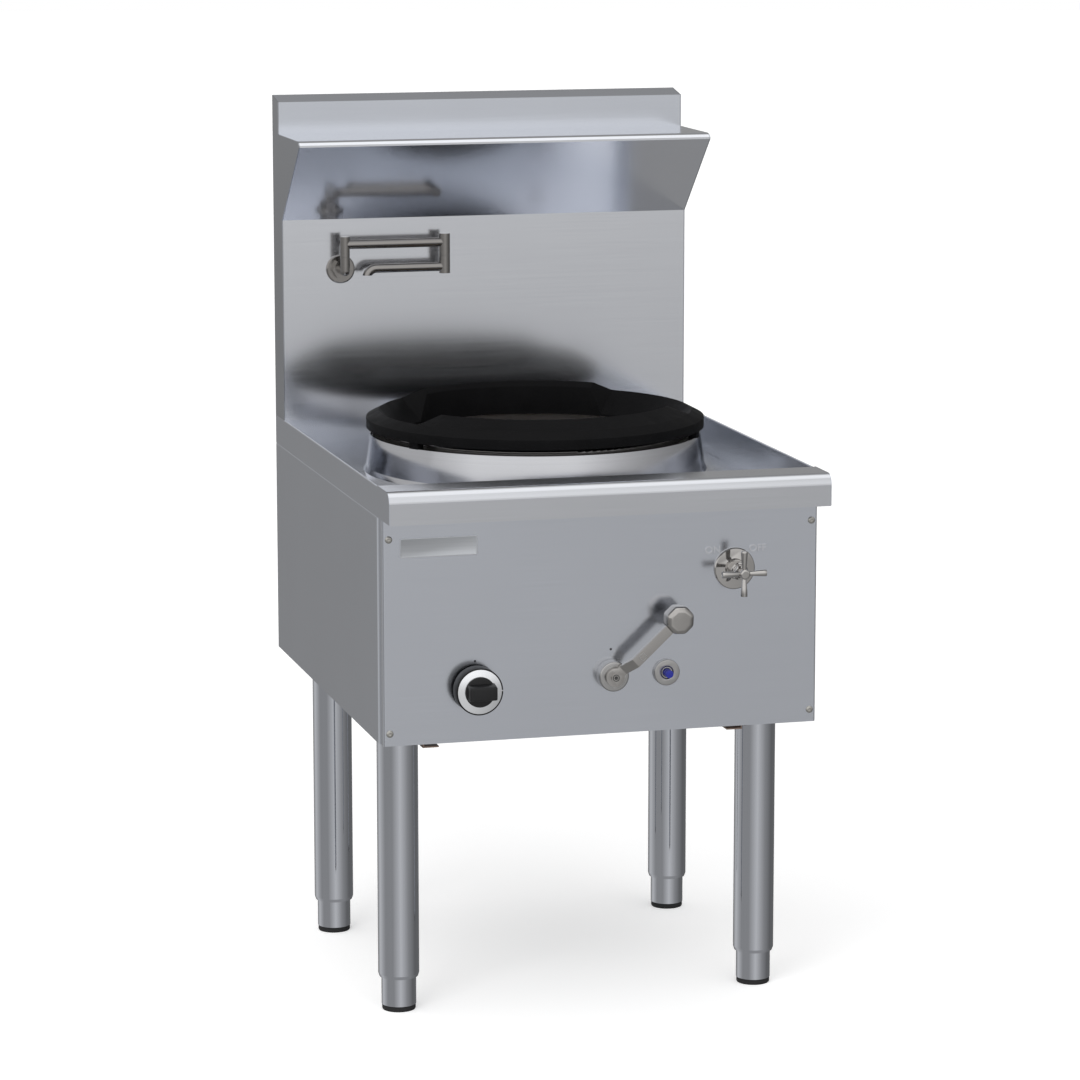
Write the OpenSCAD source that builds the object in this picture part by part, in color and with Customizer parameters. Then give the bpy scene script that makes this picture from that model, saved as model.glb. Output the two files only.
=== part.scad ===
// Single-burner wok range in stainless steel, with chimney, cast wok ring, splashback shelf and folding tap.
// Frame: x to the right, y to the back, z up. The origin is on the floor under the middle of the range.

/* [Overall] */
// Width over the side panels
overall_w = 650; // [620:1:760]
// Depth from the bull-nosed front to the back of the splashback
overall_d = 793; // [780:1:860]
// Height of the hob rim above the floor
hob_h = 797; // [785:1:850]
// Height of the top of the splashback above the floor
overall_h = 1298.5; // [1290:0.5:1400]
// Height of the underside of the cabinet above the floor
base_z = 425; // [420:1:440]
// Thickness of the stainless sheet
sheet = 1.5; // [1:0.1:2]

/* [Hob] */
// Height of the hob's outer skirt
hob_skirt = 45; // [43:0.5:60]
// Depth of the well below the rim
well_depth = 40; // [36:0.5:41]
// Width of the front nosing, front to back
nosing_w = 72; // [60:1:80]
// Radius of the bull nose
nose_r = 16; // [10:0.5:18]
// Rise of the nosing's flat top above the side rims
nosing_rise = 1.5; // [0.5:0.5:3]
// Width of the closed hem along the side rims
hem_w = 3.5; // [3.1:0.1:5]
// Depth of the hem's inner leaf
hem_drop = 9; // [6:0.5:15]
// Width of the raised margin along each side of the well
margin_w = 32; // [20:1:40]

/* [Cabinet] */
// Setback of the front panel from the front of the hob
panel_setback = 55; // [50:0.5:70]
// Depth of the front panel's folded edges
tray_d = 13; // [10:0.5:20]
// Gap between the front panel's top edge and the hob
tray_gap = 1; // [0.5:0.1:3]
// Inset of the front panel from each outer side face
tray_inset = 2.5; // [1.6:0.1:4]
// Outer radius of the round fold at the front of the side panels
fold_r = 12; // [6:0.5:14]
// Width of the folded returns that carry the front panel
return_w = 22; // [16:1:30]
// Setback of the back panel from the rear edge
back_inset = 20; // [12:0.5:26]
// Side of the square air opening under the burner
air_w = 300; // [200:5:320]
// Inset of the panel screws from each outer side face
screw_inset = 11.5; // [10:0.5:14]
// Distance of the panel screws from the top edge
screw_top = 28; // [20:1:40]
// Distance of the panel screws from the bottom edge
screw_low = 18; // [14:1:40]

/* [Chimney] */
// Distance of the burner's centre in front of the splashback
ring_off = 296.3; // [290:0.1:304]
// Outer radius of the collar at its rim
collar_r = 249.2; // [248:0.1:251]
// Height of the collar above the well floor
collar_h = 54; // [50:0.5:60]
// How much wider the collar is above its foot than at its rim
collar_taper = 5.8; // [3:0.1:7]
// Height of the collar's flared foot
flare_h = 7; // [4:0.5:10]
// Spread of the collar's flared foot
flare_w = 3.5; // [2:0.1:6]
// Outer radius of the fire bowl
bowl_r = 228; // [224:0.5:230]
// Thickness of the fire bowl
bowl_t = 2.5; // [2:0.1:4]
// Height of the fire bowl's rolled lip above the collar
lip_rise = 2; // [0:0.5:4]

/* [Wok ring] */
// Outer radius of the ring
ring_r = 254.6; // [253:0.1:258]
// Height of the outer band
band_h = 14.6; // [10:0.1:18]
// Rise from the collar's rim to the band's lower edge
band_lift = 9.6; // [8:0.1:12]
// Radius of the high crests
crest_r = 208.7; // [207:0.1:212]
// Rise of the high crests above the band
crest_rise = 23.8; // [20:0.1:28]
// Radius of the low crests at the sides
dip_r = 235.5; // [230:0.1:240]
// Radius of the ring's opening
mouth_r = 201.7; // [198:0.1:204]
// Height of the chamfer inside the high crests
chamfer_h = 8; // [4:0.5:12]
// Wall thickness of the casting
cast_t = 7; // [6:0.5:8]
// Half angle of the rear high crest
rear_half = 40.5; // [30:0.5:50]
// Half angle of the front high crest
front_half = 66.4; // [55:0.2:72]
// Angle that each ramp takes beyond the crest
ramp_turn = 5; // [4:0.1:7]
// Width of the three lugs that stand on the collar
lug_w = 18; // [12:1:24]

/* [Splashback] */
// Depth of the splashback at its foot
splash_d = 67; // [60:1:80]
// Height of the vertical lower face
lower_h = 312.5; // [250:0.5:330]
// Height of the shelf above the hob rim
shelf_h = 443.7; // [420:0.1:450]
// Drop from the shelf's top to the end of its sloping underside
shelf_drop = 8.7; // [6:0.1:14]
// Distance of the shelf's front from the rear face
shelf_reach = 201.3; // [150:0.1:220]
// Depth of the upper part above the shelf
upper_d = 44; // [30:0.5:60]
// Fall of the sloping top towards the front
top_fall = 8.5; // [4:0.5:15]

/* [Gas knob] */
// Knob centre, left of the middle
knob_x = -188.6; // [-220:0.1:-150]
// Knob centre, above the cabinet's underside
knob_up = 78; // [70:0.5:100]
// Diameter of the knob's skirt
knob_d = 68; // [60:0.5:72]
// Distance of the knob's face from the panel
knob_face = 28; // [24:0.5:32]
// Diameter of the knob's hub
hub_d = 44; // [40:0.5:50]
// Height of the grip bar across the hub
grip_w = 19.5; // [14:0.5:24]
// Distance of the grip's front from the panel
grip_front = 48; // [44:0.5:52]
// Reach of the pointer from the knob's axis
pointer_reach = 27; // [24:0.5:30]
// Travel of the knob when it is pushed in
knob_push = 4; // [2:0.5:5]
// Radius of the gas spindle
gas_spindle_r = 4; // [3:0.1:5]

/* [Knee lever] */
// Lever axis, right of the middle
lever_x = 12.3; // [0:0.1:20]
// Lever axis, above the cabinet's underside
lever_up = 87; // [80:0.5:100]
// Direction of the lever above the horizontal
lever_tilt = 42.8; // [30:0.1:60]
// Diameter of the flange behind the lever
flange_d = 44; // [40:0.5:50]
// Distance of the flange's face from the panel
flange_face = 20; // [16:0.5:22]
// Diameter of the lever's hub plate
lever_hub_d = 27; // [24:0.5:32]
// Thickness of the lever
lever_t = 5.8; // [4.5:0.1:6.2]
// Width of the lever
lever_w = 15; // [12:0.5:15]
// Distance of the hub plate's front from the panel
hub_front = 26.5; // [26:0.1:27.5]
// Distance of the arm's front from the panel
arm_front = 43.5; // [40:0.5:45]
// Distance from the axis to the middle of the end block
lever_len = 122; // [100:1:126]
// Width of the end block over its widest flats
block_w = 38; // [32:0.5:40]
// Width of the end block's front facet
facet_w = 24; // [18:0.5:28]
// Distance of the end block's front from the panel
block_front = 53; // [50:0.5:54]

/* [Igniter button] */
// Button axis, right of the middle
button_x = 95; // [88:0.5:110]
// Button axis, above the cabinet's underside
button_up = 86; // [60:0.5:90]
// Diameter of the bezel
bezel_d = 38.5; // [32:0.5:40]
// Thickness of the bezel
bezel_t = 7; // [5:0.5:9]
// Diameter of the bezel's hole
bezel_hole_d = 17; // [15:0.5:20]
// Diameter of the plunger
plunger_d = 11.7; // [9:0.1:13]
// Distance of the plunger's front from the panel
plunger_front = 20; // [17:0.5:22]
// Travel of the plunger
plunger_push = 8; // [4:0.5:9]

/* [Water valve] */
// Valve axis, right of the middle
valve_x = 197; // [190:0.5:215]
// Valve axis, below the panel's top edge
valve_drop = 93; // [86:0.5:126]
// Diameter of the valve's flange
valve_flange_d = 61; // [54:0.5:66]
// Thickness of the valve's flange at its rim
valve_flange_t = 4; // [3:0.1:6]
// Distance of the handle's front from the panel
handle_front = 55; // [52:0.5:55]
// Reach of the handle's arms from the axis
handle_reach = 33; // [28:0.5:36]
// Diameter of the handle's arm tips
arm_tip_d = 9.5; // [8:0.1:11]
// Diameter of the handle's arms at the hub
arm_root_d = 6.5; // [5:0.1:7]

/* [Badge plate] */
// Width of the blank badge plate
badge_w = 112; // [90:1:120]
// Height of the badge plate
badge_h = 27.5; // [20:0.5:32]
// Distance of the badge plate from the outer left side
badge_inset = 28; // [24:1:50]
// Distance of the badge plate's top from the panel's top
badge_drop = 27.5; // [20:0.5:40]
// Thickness of the badge plate
badge_t = 1; // [0.6:0.1:1.5]

/* [Tap] */
// Tap centre, left of the middle
tap_x = -233.8; // [-250:0.1:-200]
// Height of the tap's inlet above the hob rim
tap_up = 235; // [200:1:260]
// Distance of the tap's axis from the splashback
tap_off = 35; // [30:0.5:45]
// Outer radius of the tap's tubes
tap_r = 7; // [6:0.1:7.4]
// Outer radius of the riser
riser_r = 7.5; // [7.5:0.1:9]
// Outer radius of the outer joint
knuckle_r = 8.5; // [8:0.1:10]
// Radius of the pins inside the tap's joints
tap_pin_r = 4.5; // [3.5:0.1:5]
// Distance from the riser to the outer joint
tap_arm_len = 158.4; // [145:0.1:190]
// Height of the upper arm above the lower arm
tap_gap = 38; // [34:0.5:45]
// Distance from the outer joint to the start of the spout's bend
spout_len = 109; // [95:1:112]
// Radius of the spout's bend
spout_bend = 15; // [12:0.5:18]

/* [Legs] */
// Radius of the leg tubes
leg_r = 30.15; // [28:0.05:32]
// Wall thickness of the leg tubes
leg_t = 1.5; // [1.2:0.1:2]
// Inset of the leg axes from each outer side face
leg_inset = 52; // [45:0.5:60]
// Inset of the front leg axes from the bull-nosed front
leg_front_inset = 185; // [167:0.5:206]
// Inset of the rear leg axes from the rear face
leg_rear_inset = 159; // [147:0.5:196]
// Width of the leg plates
plate_w = 61; // [60.5:0.1:63]
// Length of the leg plates, towards the middle of the range
plate_l = 112; // [108:1:130]
// Thickness of the leg plates
plate_t = 5; // [4:0.5:8]
// Distance of the plate bolts from the plate's middle line
bolt_off = 19; // [16:0.5:21]
// Height of the rails under the cabinet
rail_h = 28.3; // [24:0.1:32]
// Width of the foot of the rails
rail_foot = 24; // [15:0.5:30]
// Thickness of the rails
rail_t = 2; // [1.5:0.1:3]
// Radius of the adjustable feet
foot_r = 25.5; // [24:0.1:25.8]
// Height of the leg tube's lower end above the floor
leg_end = 50; // [45:1:60]
// Height of the rubber pad
pad_h = 7; // [5:0.5:10]
// How far the feet screw out
foot_travel = 40; // [20:1:50]

/* [Burner] */
// Radius of the burner body
burner_r = 95; // [90:1:96]
// Depth of the burner body's top below the well floor
burner_drop = 89; // [80:1:95]
// Height of the burner body
burner_h = 28; // [24:1:34]
// Spacing of the jets
jet_pitch = 38; // [34:0.5:40]
// Height of the jets above the burner body
jet_h = 64; // [50:1:70]
// Radius of the mixing tube
mixer_r = 21; // [18:0.5:22]
// Radius of the mixing tube's throat
throat_r = 16; // [12:0.5:17]

/* [Pipes] */
// Radius of the gas inlet's male thread
gas_thread_r = 13.2; // [12:0.1:14]
// Radius of the gas pipe
gas_pipe_r = 11; // [9:0.1:11.5]
// Radius of the water inlet's male thread
water_thread_r = 10.5; // [9:0.1:11]
// Radius of the water pipes
water_pipe_r = 7.5; // [6:0.1:8.5]
// Radius of the waste pipe's threaded end
waste_r = 20; // [18:0.5:22]
// Distance of the waste pipe in front of the splashback
waste_off = 44.5; // [40:0.5:46]

/* [Hidden] */
$fn = 96;
// Overrun of every cut, and the small gaps between pieces
over = 1;
running = 0.05;
loose = 0.3;
// Places that follow from the driving sizes
half_w = overall_w / 2;
inner_x = half_w - sheet;
front_y = -overall_d / 2;
rear_y = overall_d / 2;
panel_y = front_y + panel_setback;
seat_y = panel_y + tray_d;
back_y = rear_y - back_inset;
hob_z = hob_h - hob_skirt;
floor_z = hob_h - well_depth;
well_front_y = front_y + nosing_w;
splash_y = rear_y - splash_d;
ring_y = splash_y - ring_off;
panel_h = hob_z - tray_gap - base_z;
tray_x = half_w - tray_inset;
valve_up = panel_h - valve_drop;
// Bends of the front panel
tray_fold_r = 2.5;
seam_d = 0.9;
// Holes in the front panel
knob_hole_r = gas_spindle_r + 4;
lever_pin_r = 5;
lever_hole_r = lever_pin_r + 5;
neck_r = bezel_hole_d / 2 - running;
gland_r = 11;
gland_seat = 10;
water_near = 8;
water_stub = 22;
water_spindle_r = 4.5;
jet_spigot_r = 5;
spindle_reach = 36;
screw_r = 2.4;
screw_head_r = 5.2;
screw_head_h = 2.6;
clinch_r = 4;
clinch_l = 6;
clinch_rim = 1.5;
clinch_rim_t = 0.5;
dial_t = 0.8;
// Ports of the valves behind the panel
port_back = 41.5;
port_y = panel_y + port_back;
// Chimney levels
collar_z = floor_z + collar_h;
shell_r = collar_r - 3.2;
pan_z = floor_z - 124;
pan_t = 3;
pan_rim = 16;
vent_r = burner_r + 17;
bowl_foot_r = vent_r + 18;
bowl_bend_z = pan_z + 72;
bowl_foot_h = 7;
insulation_top = collar_z - 5;
// Wok ring levels
band_z = collar_z + band_lift;
band_top = band_z + band_h;
crest_z = band_top + crest_rise;
skirt_z = collar_z - 3;
cone_slope = crest_rise / (ring_r - crest_r);
dip_z = band_top + (ring_r - dip_r) * cone_slope;
dish_end_z = dip_z - (dip_r - mouth_r);
// Splashback levels
shelf_z = hob_h + shelf_h;
shelf_y = rear_y - shelf_reach;
upper_y = rear_y - upper_d;
nose_lip = 3;
nose_crown = 14.3;
nose_mid = 4.7;
nose_soft = 2;
shelf_weld = 18;
// Legs
leg_x = half_w - leg_inset;
leg_front_y = front_y + leg_front_inset;
leg_rear_y = rear_y - leg_rear_inset;
rail_z = base_z - rail_h;
rail_wall_x = leg_x - plate_w / 2;
rail_nose = 32.7;
plate_z = base_z - rail_t - plate_t;
bolt_near = 44;
bolt_step = 22;
swage_h = 5;
swage_in = 1.75;
bush_h = 60;
foot_l = 113;
stop_t = 3;
bolt_r = 4;
bolt_head_r = 7.5;
bolt_head_h = 4.5;
nut_h = 6.5;
// Burner levels
burner_top = floor_z - burner_drop;
burner_z = burner_top - burner_h;
frame_z = pan_z - pan_t - 30;
frame_t = 4;
frame_w = 30;
frame_off = 150;
strap_x = 60;
mixer_bend = 35;
mixer_z = frame_z - mixer_bend;
mixer_y = ring_y - 228;
// Pipe routes
gas_x = 250;
gas_z = base_z + 18;
water_z = base_z + 45;
feed_z = floor_z - 32;
feed_x = 285;
feed_y = back_y - 20;
nipple_l = 15;
nipple_in = 3.5;
gas_bend = 30;
water_bend = 20;
small_bend = 12;
waste_x = 175;
waste_y = splash_y - waste_off;
waste_thread_l = 38;
waste_end = base_z - 40;
waste_flange_r = 35;
// Tap axes and levels
tap_z = hob_h + tap_up;
tap_y = splash_y - tap_off;
spout_z = tap_z + 3;
arm_z = spout_z + tap_gap;
riser_split = tap_z + 22;
knuckle_split = spout_z + 18;
joint_gap = 0.4;
tap_plug_r = 9;

// Vectors, lines of folded sheet and arcs
function unit(v) = v / norm(v);
function left(v) = [-v[1], v[0]];
function corner_shift(p, i) =
    let (a = left(unit(p[max(i, 1)] - p[max(i, 1) - 1])))
    let (k = min(i, len(p) - 2))
    let (b = left(unit(p[k + 1] - p[k])))
    (a + b) / (1 + a * b);
// Outline of a sheet of thickness t on the left of the line p
function folded(p, t) = concat(p, [for (i = [len(p) - 1 : -1 : 0]) p[i] + t * corner_shift(p, i)]);
function arc_points(c, r, a, b, n) = [for (k = [0 : n]) c + r * [cos(a + (b - a) * k / n), sin(a + (b - a) * k / n)]];
// Length that a bend takes from each straight at corner i of a route
function taken(p, i, bend) = bend * tan(acos(unit(p[i] - p[i - 1]) * unit(p[i + 1] - p[i])) / 2);

// A profile drawn in depth and height, run across the width
module across(w) {
    rotate([90, 0, 90]) linear_extrude(w, center = true) children();
}

// A profile drawn in width and height, run from depth a to depth b
module along(a, b) {
    translate([0, b, 0]) rotate([90, 0, 0]) linear_extrude(b - a) children();
}

// Children drawn on the front panel, with their z towards the viewer
module at_panel(x, up) {
    translate([x, panel_y, base_z + up]) rotate([90, 0, 0]) children();
}

module both_sides() {
    children();
    mirror([1, 0, 0]) children();
}

// A quarter of a round bend in sheet, between +x and +y
module quarter_bend(r, t) {
    intersection() {
        difference() {
            circle(r);
            circle(r - t);
        }
        square(r + t);
    }
}

module block(low, high) {
    translate(low) cube(high - low);
}

module tube(r, bore, h) {
    difference() {
        cylinder(h = h, r = r);
        translate([0, 0, -over]) cylinder(h = h + 2 * over, r = bore);
    }
}

// Children placed with their x and y axes along two square directions
module framed(o, x, y) {
    z = cross(x, y);
    multmatrix([
        [x[0], y[0], z[0], o[0]],
        [x[1], y[1], z[1], o[1]],
        [x[2], y[2], z[2], o[2]],
        [0, 0, 0, 1]
    ]) children();
}

module bar(a, b, r) {
    d = b - a;
    translate(a) rotate([0, acos(d[2] / norm(d)), atan2(d[1], d[0])]) cylinder(h = norm(d), r = r);
}

// A round pipe along a route, with rounded corners
module pipe(p, r, bend) {
    last = len(p) - 1;
    for (i = [0 : last - 1]) {
        u = unit(p[i + 1] - p[i]);
        a = i > 0 ? p[i] + u * taken(p, i, bend) : p[i];
        b = i < last - 1 ? p[i + 1] - u * taken(p, i + 1, bend) : p[i + 1];
        bar(a, b, r);
    }
    for (i = [1 : 1 : last - 1]) {
        u = unit(p[i] - p[i - 1]);
        v = unit(p[i + 1] - p[i]);
        inward = unit(v - u * (u * v));
        framed(p[i] - u * taken(p, i, bend) + inward * bend, -inward, u)
            rotate_extrude(angle = acos(u * v)) translate([bend, 0]) circle(r);
    }
}

// Groove that marks the seam between the hob and the side panels
module side_seam() {
    along(front_y - over, rear_y + over) translate([half_w, hob_z]) rotate(45) square(sqrt(2) * seam_d, center = true);
}

// Side panel with a round front fold, a return for the front panel and flanges at its edges
module side_panel() {
    color("#8f9198") difference() {
        union() {
            translate([0, 0, base_z]) linear_extrude(hob_z - base_z) {
                translate([inner_x, seat_y + fold_r]) square([sheet, rear_y - seat_y - fold_r]);
                translate([half_w - fold_r, seat_y + fold_r]) mirror([0, 1]) quarter_bend(fold_r, sheet);
                translate([half_w - fold_r - return_w, seat_y]) square([return_w, sheet]);
            }
            for (z = [base_z + sheet, hob_z - sheet])
                block([inner_x - return_w, seat_y + fold_r, z], [inner_x, back_y - sheet, z + sheet]);
        }
        screw_places() translate([0, 0, -2 * tray_d]) cylinder(h = 2 * tray_d, r = clinch_r + running);
        side_seam();
    }
}

module side_panel_left() {
    mirror([1, 0, 0]) side_panel();
}

module side_panel_right() {
    side_panel();
}

// Shallow folded tray with the openings for the controls
module front_panel() {
    color("#9a9ca3") difference() {
        union() {
            translate([0, 0, base_z]) linear_extrude(panel_h) {
                translate([-tray_x + tray_fold_r, panel_y]) square([2 * (tray_x - tray_fold_r), sheet]);
                for (s = [0, 1]) mirror([s, 0]) {
                    translate([tray_x - tray_fold_r, panel_y + tray_fold_r]) mirror([0, 1])
                        quarter_bend(tray_fold_r, sheet);
                    translate([tray_x - sheet, panel_y + tray_fold_r]) square([sheet, tray_d - tray_fold_r]);
                }
            }
            for (z = [base_z, base_z + panel_h - sheet])
                block([-tray_x + sheet, panel_y + sheet, z], [tray_x - sheet, seat_y, z + sheet]);
        }
        at_panel(knob_x, knob_up) translate([0, 0, -tray_d]) cylinder(h = 2 * tray_d, r = knob_hole_r);
        at_panel(lever_x, lever_up) translate([0, 0, -tray_d]) cylinder(h = 2 * tray_d, r = lever_hole_r);
        at_panel(button_x, button_up) translate([0, 0, -tray_d]) cylinder(h = 2 * tray_d, r = neck_r + running);
        at_panel(valve_x, valve_up) translate([0, 0, -tray_d]) cylinder(h = 2 * tray_d, r = gland_r + loose);
        screw_places() translate([0, 0, -tray_d]) cylinder(h = 2 * tray_d, r = screw_r + loose);
    }
}

module screw_places() {
    for (s = [-1, 1], up = [screw_low, panel_h - screw_top]) at_panel(s * (half_w - screw_inset), up) children();
}

// Domed screws, each in a clinch nut behind the side panel's return
module panel_screws() {
    color("#c4c6ca") screw_places() {
        dome_r = (screw_head_r * screw_head_r + screw_head_h * screw_head_h) / (2 * screw_head_h);
        intersection() {
            cylinder(h = screw_head_h, r = screw_head_r);
            translate([0, 0, screw_head_h - dome_r]) sphere(dome_r);
        }
        translate([0, 0, -tray_d]) cylinder(h = tray_d, r = screw_r);
        translate([0, 0, -tray_d]) cylinder(h = clinch_rim_t, r = clinch_r + clinch_rim);
        translate([0, 0, -tray_d - sheet - clinch_l]) cylinder(h = clinch_l + sheet, r = clinch_r);
    }
}

// Back panel with side flanges, and holes for the gas and water inlets
module back_panel() {
    flange_w = 12;
    color("#8f9198") difference() {
        union() {
            block([-inner_x, back_y - sheet, base_z + sheet], [inner_x, back_y, hob_z]);
            both_sides() block([inner_x - sheet, back_y, base_z + sheet], [inner_x, back_y + flange_w, hob_z]);
        }
        translate([-gas_x, back_y + over, gas_z]) rotate([90, 0, 0])
            cylinder(h = sheet + 2 * over, r = gas_pipe_r + loose);
        translate([gas_x, back_y + over, water_z]) rotate([90, 0, 0])
            cylinder(h = sheet + 2 * over, r = water_pipe_r + loose);
    }
}

// Base tray with the burner's air opening and the hole for the waste pipe
module base_tray() {
    color("#8f9198") difference() {
        union() {
            block([-inner_x, seat_y + fold_r, base_z], [inner_x, back_y, base_z + sheet]);
            block([-half_w + fold_r, seat_y + sheet, base_z], [half_w - fold_r, seat_y + fold_r, base_z + sheet]);
        }
        block([-air_w / 2, ring_y - air_w / 2, base_z - over], [air_w / 2, ring_y + air_w / 2, base_z + sheet + over]);
        translate([waste_x, waste_y, base_z - over]) cylinder(h = sheet + 2 * over, r = waste_r + loose);
        bolt_places() translate([0, 0, base_z - over]) cylinder(h = sheet + 2 * over, r = bolt_r + loose);
    }
}

// Z-shaped rails under the cabinet, whose feet show beside the legs
module base_rails() {
    color("#8a6f63") difference() {
        both_sides() along(leg_front_y - rail_nose, leg_rear_y + rail_nose) polygon([
            [leg_x + plate_w / 2, base_z - rail_t],
            [leg_x + plate_w / 2, base_z],
            [rail_wall_x - rail_t, base_z],
            [rail_wall_x - rail_t, rail_z + rail_t],
            [rail_wall_x - rail_foot, rail_z + rail_t],
            [rail_wall_x - rail_foot, rail_z],
            [rail_wall_x, rail_z],
            [rail_wall_x, base_z - rail_t]
        ]);
        bolt_places() translate([0, 0, base_z - rail_t - over]) cylinder(h = rail_t + 2 * over, r = bolt_r + loose);
    }
}

// Children drawn at each leg, with their y towards the middle of the range
module leg_places() {
    for (s = [-1, 1]) {
        translate([s * leg_x, leg_front_y, 0]) children();
        translate([s * leg_x, leg_rear_y, 0]) mirror([0, 1, 0]) children();
    }
}

module bolt_places() {
    leg_places() for (a = [-1, 1], y = [bolt_near, bolt_near + bolt_step]) translate([a * bolt_off, y, 0]) children();
}

// Plates welded on the legs' tops
module leg_plates() {
    color("#9b9da4") difference() {
        leg_places() translate([-plate_w / 2, -rail_nose, plate_z]) cube([plate_w, plate_l, plate_t]);
        bolt_places() translate([0, 0, plate_z - over]) cylinder(h = plate_t + 2 * over, r = bolt_r + loose);
    }
}

// Bolts with their heads on the base tray and their nuts under the plates
module leg_bolts() {
    color("#b9bbc0") bolt_places() {
        translate([0, 0, base_z + sheet]) cylinder(h = bolt_head_h, r = bolt_head_r, $fn = 6);
        translate([0, 0, plate_z - nut_h / 2])
            cylinder(h = base_z + sheet - plate_z + nut_h / 2 + bolt_head_h / 2, r = bolt_r);
        translate([0, 0, plate_z - nut_h]) cylinder(h = nut_h, r = bolt_head_r, $fn = 6);
    }
}

// Leg tube with a swaged lower end and the pressed-in bush that guides the foot
module leg(x, y) {
    bore = leg_r - leg_t;
    stop_z = pad_h + foot_l + loose;
    color("#9b9da4") translate([x, y, 0]) rotate_extrude() polygon([
        [foot_r + running, leg_end],
        [leg_r - swage_in, leg_end],
        [leg_r, leg_end + swage_h],
        [leg_r, plate_z],
        [bore, plate_z],
        [bore, stop_z + stop_t],
        [0, stop_z + stop_t],
        [0, stop_z],
        [foot_r + running, stop_z]
    ]);
}

module leg_front_left() {
    leg(-leg_x, leg_front_y);
}

module leg_front_right() {
    leg(leg_x, leg_front_y);
}

module leg_rear_left() {
    leg(-leg_x, leg_rear_y);
}

module leg_rear_right() {
    leg(leg_x, leg_rear_y);
}

// Adjustable foot with a turned groove above its rubber pad
module foot(x, y) {
    groove = 1.2;
    color("#a6a8ad") translate([x, y, 0]) rotate_extrude() polygon([
        [0, pad_h],
        [foot_r - groove, pad_h],
        [foot_r, pad_h + groove],
        [foot_r, pad_h + foot_l - groove],
        [foot_r - groove, pad_h + foot_l],
        [0, pad_h + foot_l]
    ]);
}

module foot_front_left() {
    foot(-leg_x, leg_front_y);
}

module foot_front_right() {
    foot(leg_x, leg_front_y);
}

module foot_rear_left() {
    foot(-leg_x, leg_rear_y);
}

module foot_rear_right() {
    foot(leg_x, leg_rear_y);
}

module pad(x, y) {
    round_off = 1.5;
    color("#202124") translate([x, y, 0]) rotate_extrude() polygon([
        [0, 0],
        [foot_r - round_off, 0],
        [foot_r - round_off / 2, round_off],
        [foot_r - round_off / 2, pad_h],
        [0, pad_h]
    ]);
}

module pad_front_left() {
    pad(-leg_x, leg_front_y);
}

module pad_front_right() {
    pad(leg_x, leg_front_y);
}

module pad_rear_left() {
    pad(-leg_x, leg_rear_y);
}

module pad_rear_right() {
    pad(leg_x, leg_rear_y);
}

// Sunken well floor with its chimney hole, raised side margins and rear upstand
module hob_floor() {
    margin_t = 1.5;
    color("#9fa1a7") difference() {
        union() {
            block([-inner_x, well_front_y - sheet, floor_z - sheet], [inner_x, splash_y + sheet, floor_z]);
            both_sides() block([inner_x - margin_w, well_front_y, floor_z], [inner_x, splash_y, floor_z + margin_t]);
            block([-inner_x, splash_y, floor_z], [inner_x, splash_y + sheet, hob_h]);
            block([-inner_x, splash_y, hob_h - sheet], [inner_x, rear_y - sheet, hob_h]);
        }
        translate([0, ring_y, floor_z - sheet - over]) cylinder(h = sheet + 2 * over, r = shell_r + loose, $fn = 180);
        translate([waste_x, waste_y, floor_z - sheet - over]) cylinder(h = sheet + 2 * over, r = waste_r + loose);
        translate([feed_x, feed_y, hob_h - sheet - over]) cylinder(h = sheet + 2 * over, r = water_pipe_r + loose);
        translate([tap_x, feed_y, hob_h - sheet - over]) cylinder(h = sheet + 2 * over, r = water_pipe_r + loose);
    }
}

// Bull-nosed front with its inner wall and the closing strip under it
module hob_front() {
    top_z = hob_h + nosing_rise;
    inner_fold = 2.5;
    line = concat(
        [[seat_y - sheet, hob_z], [front_y, hob_z]],
        arc_points([front_y + nose_r, top_z - nose_r], nose_r, 180, 90, 12),
        arc_points([well_front_y - inner_fold, top_z - inner_fold], inner_fold, 90, 0, 4),
        [[well_front_y, floor_z]]
    );
    color("#c9ccd2") across(2 * inner_x) polygon(folded(line, -sheet));
}

// End plates of the hob with closed hems along the rims
module hob_sides() {
    top_z = hob_h + nosing_rise;
    line = concat(
        [[rear_y, hob_z], [front_y, hob_z]],
        arc_points([front_y + nose_r, top_z - nose_r], nose_r, 180, 90, 12),
        [[well_front_y, top_z], [well_front_y + nosing_rise, hob_h], [rear_y, hob_h]]
    );
    hem_r = hem_w / 2;
    color("#b4b6bc") both_sides() {
        difference() {
            translate([half_w - sheet / 2, 0, 0]) across(sheet) difference() {
                polygon(line);
                translate([well_front_y + 2 * nosing_rise, hob_h - hem_r])
                    square([splash_y - well_front_y - 2 * nosing_rise, hem_w]);
            }
            side_seam();
        }
        along(well_front_y + 2 * nosing_rise, splash_y) translate([half_w - hem_r, hob_h - hem_r]) {
            intersection() {
                circle(hem_r);
                translate([-hem_r, 0]) square([hem_w, hem_r]);
            }
            translate([-hem_r, -hem_drop]) square([hem_w - sheet, hem_drop]);
            translate([hem_r - sheet, -hem_r]) square([sheet, hem_r]);
        }
    }
}

// Polished collar around the chimney, tapered, with a flared foot
module chimney_collar() {
    foot_r_low = collar_r + collar_taper + flare_w + 1;
    line = [
        [foot_r_low, floor_z],
        [collar_r + collar_taper + 1, floor_z + flare_h],
        [collar_r + collar_taper, floor_z + 2 * flare_h],
        [collar_r, collar_z]
    ];
    collar_t = 2;
    color("#b9bbc0") translate([0, ring_y, 0]) rotate_extrude($fn = 180) difference() {
        polygon(folded(line, collar_t));
        translate([0, floor_z - collar_t]) square([foot_r_low + collar_t, collar_t]);
    }
}

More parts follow.
